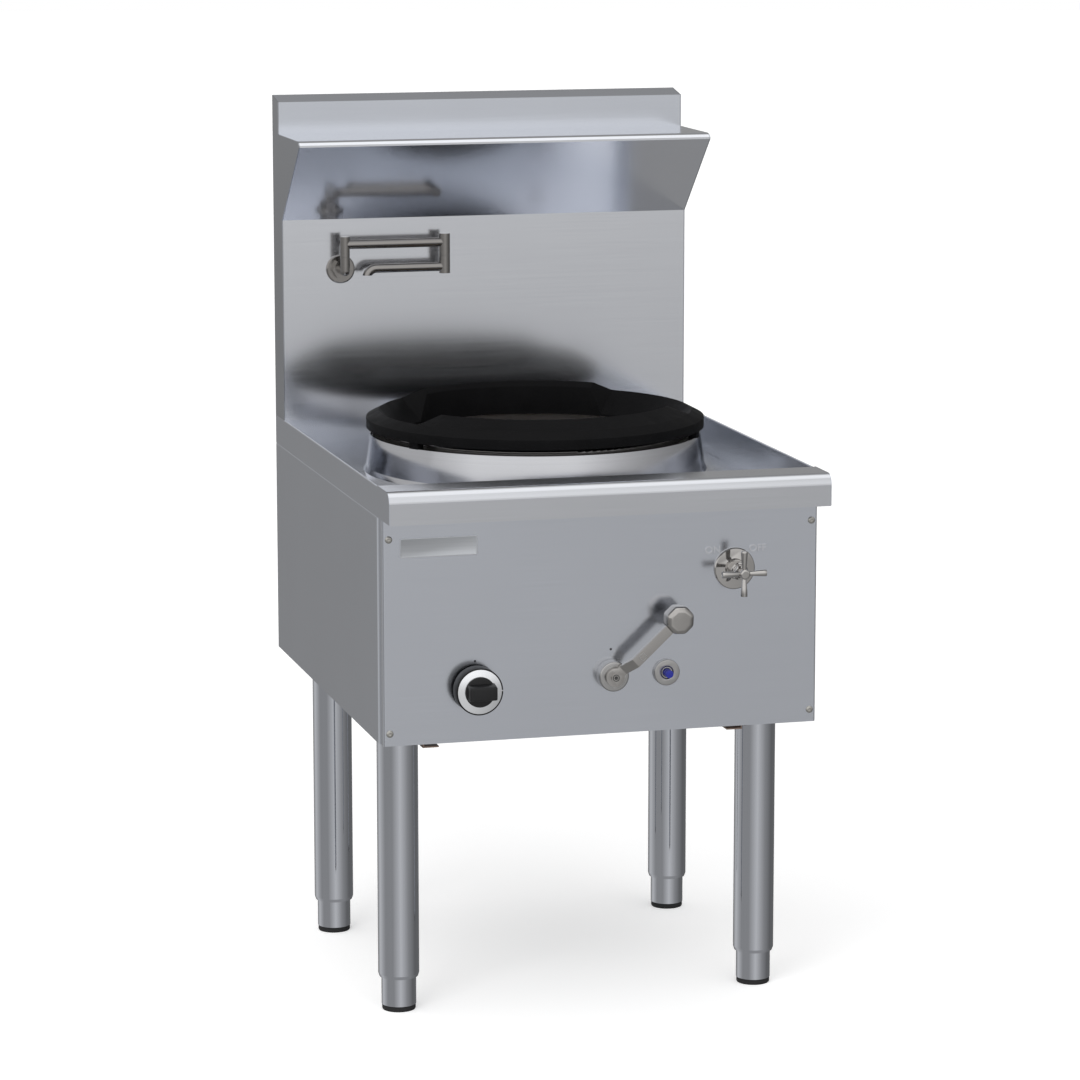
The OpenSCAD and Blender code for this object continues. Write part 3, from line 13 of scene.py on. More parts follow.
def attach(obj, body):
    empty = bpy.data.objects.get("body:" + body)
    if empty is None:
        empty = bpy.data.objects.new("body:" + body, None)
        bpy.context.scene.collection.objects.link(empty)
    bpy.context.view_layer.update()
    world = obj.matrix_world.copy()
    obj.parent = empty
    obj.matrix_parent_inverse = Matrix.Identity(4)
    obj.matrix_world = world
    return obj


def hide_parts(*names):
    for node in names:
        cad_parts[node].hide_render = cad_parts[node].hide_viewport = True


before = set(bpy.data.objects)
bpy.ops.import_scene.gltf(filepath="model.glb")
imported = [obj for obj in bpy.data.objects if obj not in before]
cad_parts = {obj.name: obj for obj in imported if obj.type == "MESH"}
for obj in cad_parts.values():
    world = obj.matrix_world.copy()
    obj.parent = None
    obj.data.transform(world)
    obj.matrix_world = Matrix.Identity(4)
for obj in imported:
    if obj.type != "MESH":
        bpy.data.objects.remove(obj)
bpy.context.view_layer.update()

# %% [markdown]
# The camera comes next, because the lighting is judged through it. The photograph was taken with a long lens from
# the left and a little above. The place, the turns and the lens were worked out from the range's square edges, so
# the render lines up with the photograph. A longer lens from further away would look the same in the middle but
# would make the far edges larger.

# %% Camera at the photograph's angle
CAMERA_PLACE = (-1.58432, -5.89833, 1.73781)
CAMERA_YAW, CAMERA_PITCH, CAMERA_ROLL = 0.26233, 0.17634, 0.00053
LENS_MM, SENSOR_MM = 137.06, 36.0
FARTHEST = 40.0

camera = bpy.data.objects.new("camera", bpy.data.cameras.new("camera"))
bpy.context.scene.collection.objects.link(camera)
camera.data.lens = LENS_MM
camera.data.sensor_width = SENSOR_MM
camera.location = CAMERA_PLACE
camera.rotation_euler = (math.pi / 2 - CAMERA_PITCH, CAMERA_ROLL, -CAMERA_YAW)
camera.data.clip_end = FARTHEST
bpy.context.scene.camera = camera
bpy.context.scene.view_settings.view_transform = "Standard"
print("camera distance:", round(Vector(CAMERA_PLACE).length, 2))

# %% [markdown]
# Brushed steel shows what stands around it, so the room matters more than the lamps. The room is a world whose
# tone changes with direction: a bright ceiling, a soft window at the back on the left, a wide one in front and dark
# screens on the right. That gives round legs their light and dark bands and makes the side of the cabinet darker
# than its front. Lamps alone would leave the steel black between them. The camera itself sees plain white.

# %% Studio world
# Four plain tones, each twice the one before, stand at the eighths of a turn that starts at -X and passes -Y: left,
# front left, front, front right, right, back right, back, back left and left again. It is the usual set-up for metal:
# a soft box in front, a window at the back on the left and dark screens on the right. The low walls are what upright
# steel mirrors, the high ones what steel facing up mirrors.
DARK, GREY, LIGHT, BRIGHT = 0.15, 0.3, 0.6, 1.2
LOW_TONES = (GREY, GREY, LIGHT, GREY, DARK, DARK, DARK, LIGHT, GREY)
HIGH_TONES = (LIGHT, BRIGHT, BRIGHT, LIGHT, GREY, GREY, GREY, LIGHT, LIGHT)
LOW_STOPS = [(eighth / 8, tone) for eighth, tone in enumerate(LOW_TONES)]
HIGH_STOPS = [(eighth / 8, tone) for eighth, tone in enumerate(HIGH_TONES)]
CEILING_TONE = BRIGHT
GROUND_TONE = GREY
# The Z of the direction at which one tone starts to give way to the next, and at which the change is done.
HIGH_WALLS_FROM = (-0.135, 0.03)
CEILING_FROM = (0.78, 0.94)
GROUND_FROM = (-0.45, -0.9)

world = bpy.data.worlds.new("studio")
bpy.context.scene.world = world
world.use_nodes = True
tree = world.node_tree
tree.nodes.clear()


def add(tree, kind, **settings):
    node = tree.nodes.new(kind)
    for name, value in settings.items():
        setattr(node, name, value)
    return node


def grey(tone):
    return tone, tone, tone, 1.0


def ramp_of(tree, stops, interpolation):
    ramp = add(tree, "ShaderNodeValToRGB")
    ramp.color_ramp.interpolation = interpolation
    while len(ramp.color_ramp.elements) < len(stops):
        ramp.color_ramp.elements.new(0.5)
    for element, (place, tone) in zip(ramp.color_ramp.elements, stops):
        element.position = place
        element.color = (*tone, 1.0) if isinstance(tone, tuple) else grey(tone)
    return ramp


def give_way(tree, height, heights, first, second):
    """Mixes from the first colour to the second between two heights. The second may be a plain tone."""
    step = add(tree, "ShaderNodeMapRange", interpolation_type="SMOOTHSTEP")
    step.inputs["From Min"].default_value, step.inputs["From Max"].default_value = heights
    mix = add(tree, "ShaderNodeMix", data_type="RGBA")
    tree.links.new(height, step.inputs["Value"])
    tree.links.new(step.outputs["Result"], mix.inputs["Factor"])
    tree.links.new(first, mix.inputs["A"])
    if isinstance(second, float):
        mix.inputs["B"].default_value = grey(second)
    else:
        tree.links.new(second, mix.inputs["B"])
    return mix.outputs["Result"]


where = add(tree, "ShaderNodeTexCoord")
turn = add(tree, "ShaderNodeTexGradient", gradient_type="RADIAL")
parts = add(tree, "ShaderNodeSeparateXYZ")
low_walls = ramp_of(tree, LOW_STOPS, "LINEAR")
high_walls = ramp_of(tree, HIGH_STOPS, "B_SPLINE")
studio = add(tree, "ShaderNodeBackground")
seen = add(tree, "ShaderNodeBackground")
path = add(tree, "ShaderNodeLightPath")
choice = add(tree, "ShaderNodeMixShader")
result = add(tree, "ShaderNodeOutputWorld")
link = tree.links.new
link(where.outputs["Generated"], turn.inputs["Vector"])
link(where.outputs["Generated"], parts.inputs["Vector"])
link(turn.outputs["Fac"], low_walls.inputs["Fac"])
link(turn.outputs["Fac"], high_walls.inputs["Fac"])
height = parts.outputs["Z"]
room = give_way(tree, height, HIGH_WALLS_FROM, low_walls.outputs["Color"], high_walls.outputs["Color"])
room = give_way(tree, height, CEILING_FROM, room, CEILING_TONE)
room = give_way(tree, height, GROUND_FROM, room, GROUND_TONE)
link(room, studio.inputs["Color"])
seen.inputs["Color"].default_value = grey(1.0)
link(path.outputs["Is Camera Ray"], choice.inputs["Fac"])
link(studio.outputs["Background"], choice.inputs[1])
link(seen.outputs["Background"], choice.inputs[2])
link(choice.outputs["Shader"], result.inputs["Surface"])
print("studio tones:", len(LOW_STOPS) + len(HIGH_STOPS))

# %% [markdown]
# The floor is a plain pale disc. It glows a little for the camera only, so it is white where nothing shades it, and
# the range leaves a faint soft shadow at its feet. The steel doesn't mirror the disc, because the world's lower half
# already stands for the floor there.

# %% Floor
FLOOR_RADIUS = 30.0
FLOOR_TONE, FLOOR_GLOW = 0.86, 0.45


def clear_selection():
    if bpy.context.object and bpy.context.object.mode != "OBJECT":
        bpy.ops.object.mode_set(mode="OBJECT")
    bpy.ops.object.select_all(action="DESELECT")


clear_selection()
bpy.ops.mesh.primitive_circle_add(vertices=64, radius=FLOOR_RADIUS, fill_type="NGON", location=(0, 0, 0))
floor = bpy.context.object
floor.name = "floor"
floor.visible_glossy = False
floor_paint = bpy.data.materials.new("floor_paint")
floor_paint.use_nodes = True
paint = floor_paint.node_tree.nodes["Principled BSDF"]
paint.inputs["Base Color"].default_value = grey(FLOOR_TONE)
paint.inputs["Roughness"].default_value = 1.0
paint.inputs["Specular IOR Level"].default_value = 0.0
paint.inputs["Emission Color"].default_value = grey(FLOOR_GLOW)
lift = add(floor_paint.node_tree, "ShaderNodeLightPath")
floor_paint.node_tree.links.new(lift.outputs["Is Camera Ray"], paint.inputs["Emission Strength"])
floor.data.materials.append(floor_paint)
print("floor:", floor.name)

# %% [markdown]
# A large lamp high in front, to the left, lifts the edges that face it and rounds the handles. It is big and
# weak, so its shadows are soft.

# %% Soft lamp
LAMP_PLACE = (-2.2, -2.6, 3.2)
LAMP_TARGET = (0, 0, 0.7)
LAMP_WIDTH, LAMP_HEIGHT = 1.6, 1.2
LAMP_POWER = 30.0

clear_selection()
bpy.ops.object.light_add(type="AREA", location=LAMP_PLACE)
lamp = bpy.context.object
lamp.name = "soft_lamp"
lamp.data.shape = "RECTANGLE"
lamp.data.size = LAMP_WIDTH
lamp.data.size_y = LAMP_HEIGHT
lamp.data.energy = LAMP_POWER
lamp.visible_glossy = False
lamp.rotation_euler = (Vector(LAMP_TARGET) - lamp.location).to_track_quat("-Z", "Y").to_euler()

# %% [markdown]
# Every finish is made of the same few steps: a pattern stretched along the direction in which the steel was
# rubbed, a ramp that turns it into small changes of colour and gloss, and a very shallow bump. The pattern reads
# Object coordinates, which are metres here, so a scale of 900 means lines about a millimetre apart.

# %% Helpers for the finishes
NOISE_LOW, NOISE_HIGH = 0.3, 0.7  # nearly all of a noise pattern lies between these
ACROSS_SCALE, ALONG_SCALE, CLOUD_SCALE = 700.0, 6.0, 7.0
LINE_DETAIL, CLOUD_DETAIL = 4.0, 2.0
CLOUD_SHARE = 0.35
BRUSHED_GLOSS = 0.015
METAL_RELIEF = 0.2


def new_finish(name, colour, roughness, metallic):
    finish = bpy.data.materials.new(name)
    finish.use_nodes = True
    shader = finish.node_tree.nodes["Principled BSDF"]
    shader.inputs["Base Color"].default_value = (*colour, 1.0)
    shader.inputs["Roughness"].default_value = roughness
    shader.inputs["Metallic"].default_value = metallic
    return finish, finish.node_tree, shader


def pattern(tree, scale, detail):
    place = add(tree, "ShaderNodeTexCoord")
    stretch = add(tree, "ShaderNodeMapping")
    stretch.inputs["Scale"].default_value = scale
    texture = add(tree, "ShaderNodeTexNoise")
    texture.inputs["Scale"].default_value = 1.0
    texture.inputs["Detail"].default_value = detail
    tree.links.new(place.outputs["Object"], stretch.inputs["Vector"])
    tree.links.new(stretch.outputs["Vector"], texture.inputs["Vector"])
    return texture.outputs[0]


def blend_of(tree, share, first, second):
    blend = add(tree, "ShaderNodeMix", data_type="FLOAT")
    blend.inputs["Factor"].default_value = share
    tree.links.new(first, blend.inputs["A"])
    tree.links.new(second, blend.inputs["B"])
    return blend.outputs["Result"]


def tint(tree, shader, source, low, high):
    ramp = ramp_of(tree, [(NOISE_LOW, tuple(low)), (NOISE_HIGH, tuple(high))], "LINEAR")
    tree.links.new(source, ramp.inputs["Fac"])
    tree.links.new(ramp.outputs["Color"], shader.inputs["Base Color"])


def gloss(tree, shader, source, roughness, change):
    span = add(tree, "ShaderNodeMapRange")
    span.inputs["From Min"].default_value = NOISE_LOW
    span.inputs["From Max"].default_value = NOISE_HIGH
    span.inputs["To Min"].default_value = roughness - change
    span.inputs["To Max"].default_value = roughness + change
    tree.links.new(source, span.inputs["Value"])
    tree.links.new(span.outputs["Result"], shader.inputs["Roughness"])


def relief(tree, shader, source, depth, strength):
    bump = add(tree, "ShaderNodeBump")
    bump.inputs["Strength"].default_value = strength
    bump.inputs["Distance"].default_value = depth
    tree.links.new(source, bump.inputs["Height"])
    tree.links.new(bump.outputs["Normal"], shader.inputs["Normal"])


def shades(colour, spread):
    return [c * (1 - spread) for c in colour], [c * (1 + spread) for c in colour]


def brushed(name, colour, roughness, along, spread=0.018, depth=0.000006):
    """Steel rubbed along one axis: fine lines in colour and gloss, and a faint cloudiness."""
    finish, tree, shader = new_finish(name, colour, roughness, 1.0)
    fine = [ACROSS_SCALE] * 3
    fine[along] = ALONG_SCALE
    lines = pattern(tree, fine, LINE_DETAIL)
    clouded = blend_of(tree, CLOUD_SHARE, lines, pattern(tree, [CLOUD_SCALE] * 3, CLOUD_DETAIL))
    tint(tree, shader, clouded, *shades(colour, spread))
    gloss(tree, shader, clouded, roughness, BRUSHED_GLOSS)
    relief(tree, shader, lines, depth, METAL_RELIEF)
    return finish


# %% [markdown]
# The sheet of the real range is satin stainless steel, cool grey, rubbed across its width on the front and along
# its depth on the sides. It mirrors large things softly, such as the dark ring in the splashback.

# %% Sheet steel
STEEL = (0.655, 0.68, 0.735)
SATIN = 0.18
X, Y, Z = 0, 1, 2

# Name, colour, roughness and the axis of the rubbing.
steel_across = brushed("steel_across", STEEL, SATIN, X)
steel_deep = brushed("steel_deep", STEEL, SATIN, Y)
# A lighter copy of the sheet steel, which is painted light: the splashback's front and the raised words are drawn
# brighter than the rest of the sheet.
steel_painted_lighter = brushed("steel_painted_lighter", (0.735, 0.75, 0.79), 0.16, X)
steel_edge = brushed("steel_edge", (0.69, 0.705, 0.74), SATIN, X)
steel_upright = brushed("steel_upright", (0.675, 0.695, 0.745), 0.08, Z)
# A darker copy of the sheet steel, which is painted shade: the splashback's cheeks are drawn darker than the rest of
# the sheet.
steel_painted_shade = brushed("steel_painted_shade", (0.44, 0.455, 0.49), SATIN, Y)
steel_dull = brushed("steel_dull", (0.36, 0.365, 0.38), 0.38, Y)

# %% [markdown]
# The chimney's collar is polished on a lathe, so its lines run round it. Distance from the axis and height drive
# that pattern instead of plain coordinates, which would give straight lines over a round wall. The flanges and
# rings on the front panel are turned too, round the axis of the control that they belong to.

# %% Lathe-polished steel
LATHE_SCALE, LATHE_DETAIL = 900.0, 3.0
LATHE_GLOSS = 0.025
RING_CENTRE = (0.0, 0.0332, 0.0)
PANEL_Y = -0.3415
KNOB_X, KNOB_Z = -0.1886, 0.503
VALVE_X, VALVE_Z = 0.197, 0.658
BUTTON_X, BUTTON_Z = 0.095, 0.511
LEVER_X, LEVER_Z = 0.0123, 0.512


def turned(name, colour, roughness, centre, up=True, spread=0.04, depth=0.00002):
    finish, tree, shader = new_finish(name, colour, roughness, 1.0)
    place = add(tree, "ShaderNodeTexCoord")
    shift = add(tree, "ShaderNodeMapping")
    shift.inputs["Location"].default_value = [-c for c in centre]
    parts = add(tree, "ShaderNodeSeparateXYZ")
    flat = add(tree, "ShaderNodeCombineXYZ")
    far = add(tree, "ShaderNodeVectorMath", operation="LENGTH")
    ring = add(tree, "ShaderNodeCombineXYZ")
    lines = add(tree, "ShaderNodeTexNoise")
    lines.inputs["Scale"].default_value = LATHE_SCALE
    lines.inputs["Detail"].default_value = LATHE_DETAIL
    link = tree.links.new
    link(place.outputs["Object"], shift.inputs["Vector"])
    link(shift.outputs["Vector"], parts.inputs["Vector"])
    link(parts.outputs["X"], flat.inputs["X"])
    link(parts.outputs["Y" if up else "Z"], flat.inputs["Y"])
    link(flat.outputs["Vector"], far.inputs[0])
    link(far.outputs["Value"], ring.inputs["X"])
    link(parts.outputs["Z" if up else "Y"], ring.inputs["Y"])
    link(ring.outputs["Vector"], lines.inputs["Vector"])
    tint(tree, shader, lines.outputs[0], *shades(colour, spread))
    gloss(tree, shader, lines.outputs[0], roughness, LATHE_GLOSS)
    relief(tree, shader, lines.outputs[0], depth, METAL_RELIEF)
    return finish


# Name, colour, roughness and the point that the lines run round.
collar_polish = turned("collar_polish", (0.58, 0.585, 0.61), 0.14, RING_CENTRE)
bowl_steel = turned("bowl_steel", (0.30, 0.29, 0.29), 0.33, RING_CENTRE, spread=0.10)
chrome = turned("chrome", (0.52, 0.505, 0.49), 0.06, (VALVE_X, PANEL_Y, VALVE_Z), up=False, spread=0.03)
bezel_steel = turned(
    "bezel_steel", (0.48, 0.475, 0.47), 0.30, (BUTTON_X, PANEL_Y, BUTTON_Z), up=False, spread=0.06)
dial_steel = turned(
    "dial_steel", (0.95, 0.965, 0.99), 0.24, (KNOB_X, PANEL_Y, KNOB_Z), up=False, spread=0.008, depth=0.000002)
lever_flange_steel = turned("lever_flange_steel", (0.46, 0.455, 0.45), 0.28, (LEVER_X, PANEL_Y, LEVER_Z), up=False)

# %% [markdown]
# Cast and moulded parts have no direction. Iron is dark and pitted, with hardly any sheen. The lever is a satin
# nickel casting, warmer than the sheet. The tap is dark brushed stainless.

# %% Castings, plastics and rubber
PIT_DETAIL, PATCH_DETAIL = 5.0, 3.0
PATCH_SCALE, PATCH_SHARE = 38.0, 0.5
CAST_GLOSS = 0.06
CAST_RELIEF = 0.35


def cast(name, colour, roughness, metallic, pit_scale=420.0, depth=0.00025, spread=0.22):
    finish, tree, shader = new_finish(name, colour, roughness, metallic)
    pits = pattern(tree, [pit_scale] * 3, PIT_DETAIL)
    patches = pattern(tree, [PATCH_SCALE] * 3, PATCH_DETAIL)
    tint(tree, shader, blend_of(tree, PATCH_SHARE, pits, patches), *shades(colour, spread))
    gloss(tree, shader, patches, roughness, CAST_GLOSS)
    relief(tree, shader, pits, depth, CAST_RELIEF)
    return finish


# Name, colour, roughness and metallic, then the pits' scale, their depth and the spread of the colour.
ring_iron = cast("ring_iron", (0.0082, 0.0082, 0.0087), 0.55, 0.0)
grey_iron = cast("grey_iron", (0.07, 0.07, 0.075), 0.6, 0.3)
nickel_casting = cast("nickel_casting", (0.47, 0.455, 0.44), 0.15, 1.0, 300.0, 0.00001, 0.03)
tap_steel = brushed("tap_steel", (0.31, 0.297, 0.285), 0.17, X, spread=0.04)
zinc_plate = cast("zinc_plate", (0.30, 0.22, 0.18), 0.42, 0.7, 160.0, 0.00005, 0.15)
bolt_steel = cast("bolt_steel", (0.50, 0.49, 0.46), 0.35, 1.0, 300.0, 0.00003, 0.08)
black_plastic = cast("black_plastic", (0.006, 0.006, 0.0065), 0.40, 0.0, 1500.0, 0.00002, 0.10)
grip_plastic = cast("grip_plastic", (0.0125, 0.0125, 0.0135), 0.36, 0.0, 1500.0, 0.00002, 0.10)
pad_rubber = cast("pad_rubber", (0.018, 0.018, 0.019), 0.75, 0.0, 700.0, 0.00010, 0.18)
button_blue = cast("button_blue", (0.014, 0.022, 0.30), 0.28, 0.0, 900.0, 0.00002, 0.06)
brass = cast("brass", (0.55, 0.38, 0.15), 0.34, 1.0, 260.0, 0.00005, 0.12)
copper = cast("copper", (0.56, 0.27, 0.15), 0.30, 1.0, 120.0, 0.00003, 0.14)
fibre = cast("fibre", (0.16, 0.155, 0.15), 0.95, 0.0, 240.0, 0.0009, 0.30)
plate_metal = brushed("plate_metal", (0.62, 0.64, 0.67), 0.33, X, spread=0.05)
socket_dark = cast("socket_dark", (0.10, 0.10, 0.10), 0.35, 1.0, 300.0, 0.00003, 0.08)
mark_paint = cast("mark_paint", (0.035, 0.036, 0.040), 0.5, 0.0, 1200.0, 0.00002, 0.12)

for finish, sheen in ((ring_iron, 0.035), (black_plastic, 0.25), (grip_plastic, 0.30)):
    finish.node_tree.nodes["Principled BSDF"].inputs["Specular IOR Level"].default_value = sheen

# %% [markdown]
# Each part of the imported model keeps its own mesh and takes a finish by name. Its shape came from the drawing and
# isn't touched.

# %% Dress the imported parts
FINISH_OF = {
    "side_panel_left": steel_deep, "side_panel_right": steel_deep, "front_panel": steel_across,
    "back_panel": steel_across, "base_tray": steel_across, "base_rails": zinc_plate, "leg_plates": steel_dull,
    "leg_bolts": bolt_steel, "hob_floor": steel_across, "hob_front": steel_edge, "hob_sides": steel_deep,
    "chimney_collar": collar_polish, "chamber_pan": bowl_steel, "insulation": fibre, "fire_bowl": bowl_steel,
    "burner_frame": steel_dull, "burner_body": grey_iron, "burner_jets": brass, "mixing_tube": grey_iron,
    "pilot_set": brass, "gas_pipes": steel_dull, "gas_valve": brass, "knee_valve": brass, "water_pipes": copper,
    # The splashback's cheeks take the darker copy of the steel, which is painted shade.
    # The splashback's front takes the lighter copy of the steel, which is painted light.
    "water_valve": brass, "waste_pipe": steel_upright, "splash_cheeks": steel_painted_shade, "splash_front": steel_painted_lighter,
    "splash_rear": steel_across, "tap_base": tap_steel, "tap_arm": tap_steel, "tap_spout": tap_steel,
    "badge_plate": plate_metal, "panel_screws": chrome, "knob_skirt": black_plastic, "dial_ring": dial_steel,
    "knob_grip": grip_plastic, "gas_spindle": bolt_steel, "lever_flange": lever_flange_steel,
    "knee_lever": nickel_casting, "knee_spindle": nickel_casting, "button_bezel": bezel_steel,
    "igniter_button": button_blue, "igniter_body": black_plastic, "valve_flange": chrome, "water_handle": chrome,
    "wok_ring": ring_iron,
}
FINISH_BY_KIND = {"leg": steel_upright, "foot": steel_upright, "pad": pad_rubber}

for name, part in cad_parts.items():
    finish = FINISH_OF.get(name) or FINISH_BY_KIND[name.split("_")[0]]
    part.data.materials.clear()
    part.data.materials.append(finish)
print("dressed:", len(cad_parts))

# %% [markdown]
# The small parts are remodelled, because their rounded edges are what the eye reads as cast, pressed or moulded.
# Each new piece rides on the body that it belongs to, so the handles still turn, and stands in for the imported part
# that it replaces. The helpers below do the selecting, the modifiers, the steps in a front face and the handing
# over.

# %% Helpers for the pieces
WELD = 0.00001
FLAT = math.radians(1.0)
NEAREST = 0.0001
FACING = 0.9


def work_on(piece):
    clear_selection()
    piece.select_set(True)
    bpy.context.view_layer.objects.active = piece


def bake_place():
    bpy.ops.object.transform_apply(location=True, rotation=True, scale=True)


def apply_modifier(piece, kind, **settings):
    work_on(piece)
    bpy.ops.object.modifier_add(type=kind)
    modifier = piece.modifiers[-1]
    for name, value in settings.items():
        setattr(modifier, name, value)
    bpy.ops.object.modifier_apply(modifier=modifier.name)


def round_edges(piece, width, segments=3, angle=30):
    apply_modifier(piece, "BEVEL", width=width, segments=segments, limit_method="ANGLE",
                   angle_limit=math.radians(angle), use_clamp_overlap=True)


def hand_over(piece, name, finish, body, stands_for=(), smooth=35):
    work_on(piece)
    bake_place()
    bpy.ops.object.shade_smooth_by_angle(angle=math.radians(smooth))
    piece.name = name
    piece.data.name = name
    piece.data.materials.clear()
    piece.data.materials.append(finish)
    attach(piece, body)
    if stands_for:
        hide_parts(*stands_for)
    print(name, len(piece.data.polygons), "faces")


def join_all(parts):
    clear_selection()
    for part in parts:
        part.select_set(True)
    bpy.context.view_layer.objects.active = parts[0]
    bpy.ops.object.join()
    return bpy.context.object


def disc(x, z, front, back, radius, vertices):
    """A cylinder whose flat faces point along Y, like everything on the front panel."""
    clear_selection()
    bpy.ops.mesh.primitive_cylinder_add(
        vertices=vertices, radius=radius, depth=back - front, location=(x, (front + back) / 2, z),
        rotation=(math.pi / 2, 0, 0))
    bake_place()
    return bpy.context.object


def box(centre, size):
    clear_selection()
    bpy.ops.mesh.primitive_cube_add(size=1, location=centre)
    piece = bpy.context.object
    piece.scale = size
    bake_place()
    return piece


def welded_copy(node, name):
    """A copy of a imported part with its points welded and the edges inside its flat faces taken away."""
    piece = bpy.data.objects.new(name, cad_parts[node].data.copy())
    bpy.context.scene.collection.objects.link(piece)
    work_on(piece)
    bpy.ops.object.mode_set(mode="EDIT")
    bpy.ops.mesh.select_all(action="SELECT")
    bpy.ops.mesh.remove_doubles(threshold=WELD)
    bpy.ops.mesh.dissolve_limited(angle_limit=FLAT)
    bpy.ops.object.mode_set(mode="OBJECT")
    return piece


def pick_faces(piece, test):
    """Selects, in edit mode, only the faces whose centre and normal pass the test."""
    bpy.ops.object.mode_set(mode="OBJECT")
    for vertex in piece.data.vertices:
        vertex.select = False
    for edge in piece.data.edges:
        edge.select = False
    for face in piece.data.polygons:
        face.select = test(face.center, face.normal)
    bpy.ops.object.mode_set(mode="EDIT")
    bpy.ops.mesh.select_mode(type="FACE")


def front_face(piece):
    """Selects the flat face nearest the viewer."""
    nearest = min(v.co.y for v in piece.data.vertices)
    pick_faces(piece, lambda centre, normal: normal.y < -FACING and centre.y < nearest + NEAREST)


def step_face(piece, *steps):
    """Insets the front face and moves it along Y with a straight wall, once for each step. Plus Y is inwards."""
    front_face(piece)
    for rim, depth in steps:
        bpy.ops.mesh.inset(thickness=rim, depth=0)
        bpy.ops.mesh.extrude_region_move(TRANSFORM_OT_translate={"value": (0, depth, 0)})
    bpy.ops.object.mode_set(mode="OBJECT")


def dome_face(piece, *steps):
    """Insets the front face and pulls it forward without a wall, once for each step."""
    front_face(piece)
    for rim, rise in steps:
        bpy.ops.mesh.inset(thickness=rim, depth=0)
        bpy.ops.transform.translate(value=(0, -rise, 0))
    bpy.ops.object.mode_set(mode="OBJECT")


# %% [markdown]
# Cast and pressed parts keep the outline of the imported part. A copy is welded, its flat faces are merged, and a
# narrow bevel rounds every sharp edge. The bevel's width is the edge radius that the process leaves: about a
# millimetre and a half on sand-cast iron, half of that on the turned and pressed parts.


# %% Castings and pressed parts with rounded edges
def softened(node, width, finish, body):
    piece = welded_copy(node, node + "_soft")
    round_edges(piece, width)
    hand_over(piece, node + "_soft", finish, body, (node,))


# Node, width of the bevel, finish and body.
softened("wok_ring", 0.0015, ring_iron, "wok_ring")
softened("lever_flange", 0.0008, lever_flange_steel, "range")
softened("valve_flange", 0.0007, chrome, "range")
softened("button_bezel", 0.0009, bezel_steel, "range")
softened("igniter_button", 0.0009, button_blue, "igniter_button")

# %% [markdown]
# The gas knob is a black moulded skirt with a silver dial let into its face and a grip bar across it. The rim is
# inset from the front face and the floor pushed back, so the dial lies inside a thin black lip, as in the
# photograph. The grip is a round hub with a bar over it, which is narrower at its front so that fingers hold it.

# %% Gas knob
KNOB_BACK, KNOB_FRONT = PANEL_Y - 0.006, PANEL_Y - 0.0288
SKIRT_RADIUS, SKIRT_EDGE = 0.034, 0.0004
LIP, RECESS = 0.0017, 0.0007
DIAL_LIFT, DIAL_GAP, DIAL_EDGE = 0.0001, 0.0002, 0.0002
HUB_RADIUS, HUB_RISE, HUB_SINK, HUB_EDGE = 0.022, 0.0040, 0.0002, 0.0016
GRIP_FRONT = PANEL_Y - 0.048
GRIP_START, GRIP_REACH = -0.0190, 0.0218
GRIP_FOOT, GRIP_EDGE = 0.02496, 0.0022
GRIP_TAPER = (0.975, 1, 0.76)
INDEX_SIZE = (0.0022, 0.0006, 0.0011)
INDEX_INSET, INDEX_RISE, INDEX_EDGE = 0.0012, 0.0004, 0.00015

skirt = disc(KNOB_X, KNOB_Z, KNOB_FRONT, KNOB_BACK, SKIRT_RADIUS, 96)
step_face(skirt, (LIP, RECESS))
round_edges(skirt, SKIRT_EDGE, 2)
hand_over(skirt, "knob_skirt_moulded", black_plastic, "gas_knob", ("knob_skirt",))

dial = disc(KNOB_X, KNOB_Z, KNOB_FRONT + DIAL_LIFT, KNOB_FRONT + RECESS, SKIRT_RADIUS - LIP - DIAL_GAP, 96)
round_edges(dial, DIAL_EDGE, 2)
hand_over(dial, "dial_face", dial_steel, "gas_knob", ("dial_ring",))

hub = disc(KNOB_X, KNOB_Z, KNOB_FRONT - HUB_RISE, KNOB_FRONT + HUB_SINK, HUB_RADIUS, 72)
round_edges(hub, HUB_EDGE, 4)
bar = box((KNOB_X + (GRIP_REACH + GRIP_START) / 2, (GRIP_FRONT + KNOB_FRONT) / 2, KNOB_Z),
          (GRIP_REACH - GRIP_START, KNOB_FRONT - GRIP_FRONT, GRIP_FOOT))
pick_faces(bar, lambda centre, normal: normal.y < -FACING)
bpy.ops.transform.resize(value=GRIP_TAPER)
bpy.ops.object.mode_set(mode="OBJECT")
round_edges(bar, GRIP_EDGE, 5)
grip = join_all([hub, bar])
hand_over(grip, "knob_grip_moulded", grip_plastic, "gas_knob", ("knob_grip",), 40)

index = box((KNOB_X + SKIRT_RADIUS - INDEX_INSET, KNOB_FRONT, KNOB_Z + INDEX_RISE), INDEX_SIZE)
round_edges(index, INDEX_EDGE, 2)
hand_over(index, "knob_index", dial_steel, "gas_knob")

# %% [markdown]
# The water valve has a turned cross handle. One arm is made from a cylinder whose outer end is widened, given a
# short straight collar and a shallow hollow, then it is copied three times round the axis. The hub is a short
# cylinder with a domed front. A stepped gland nut stands behind the handle, where the stem leaves the valve.

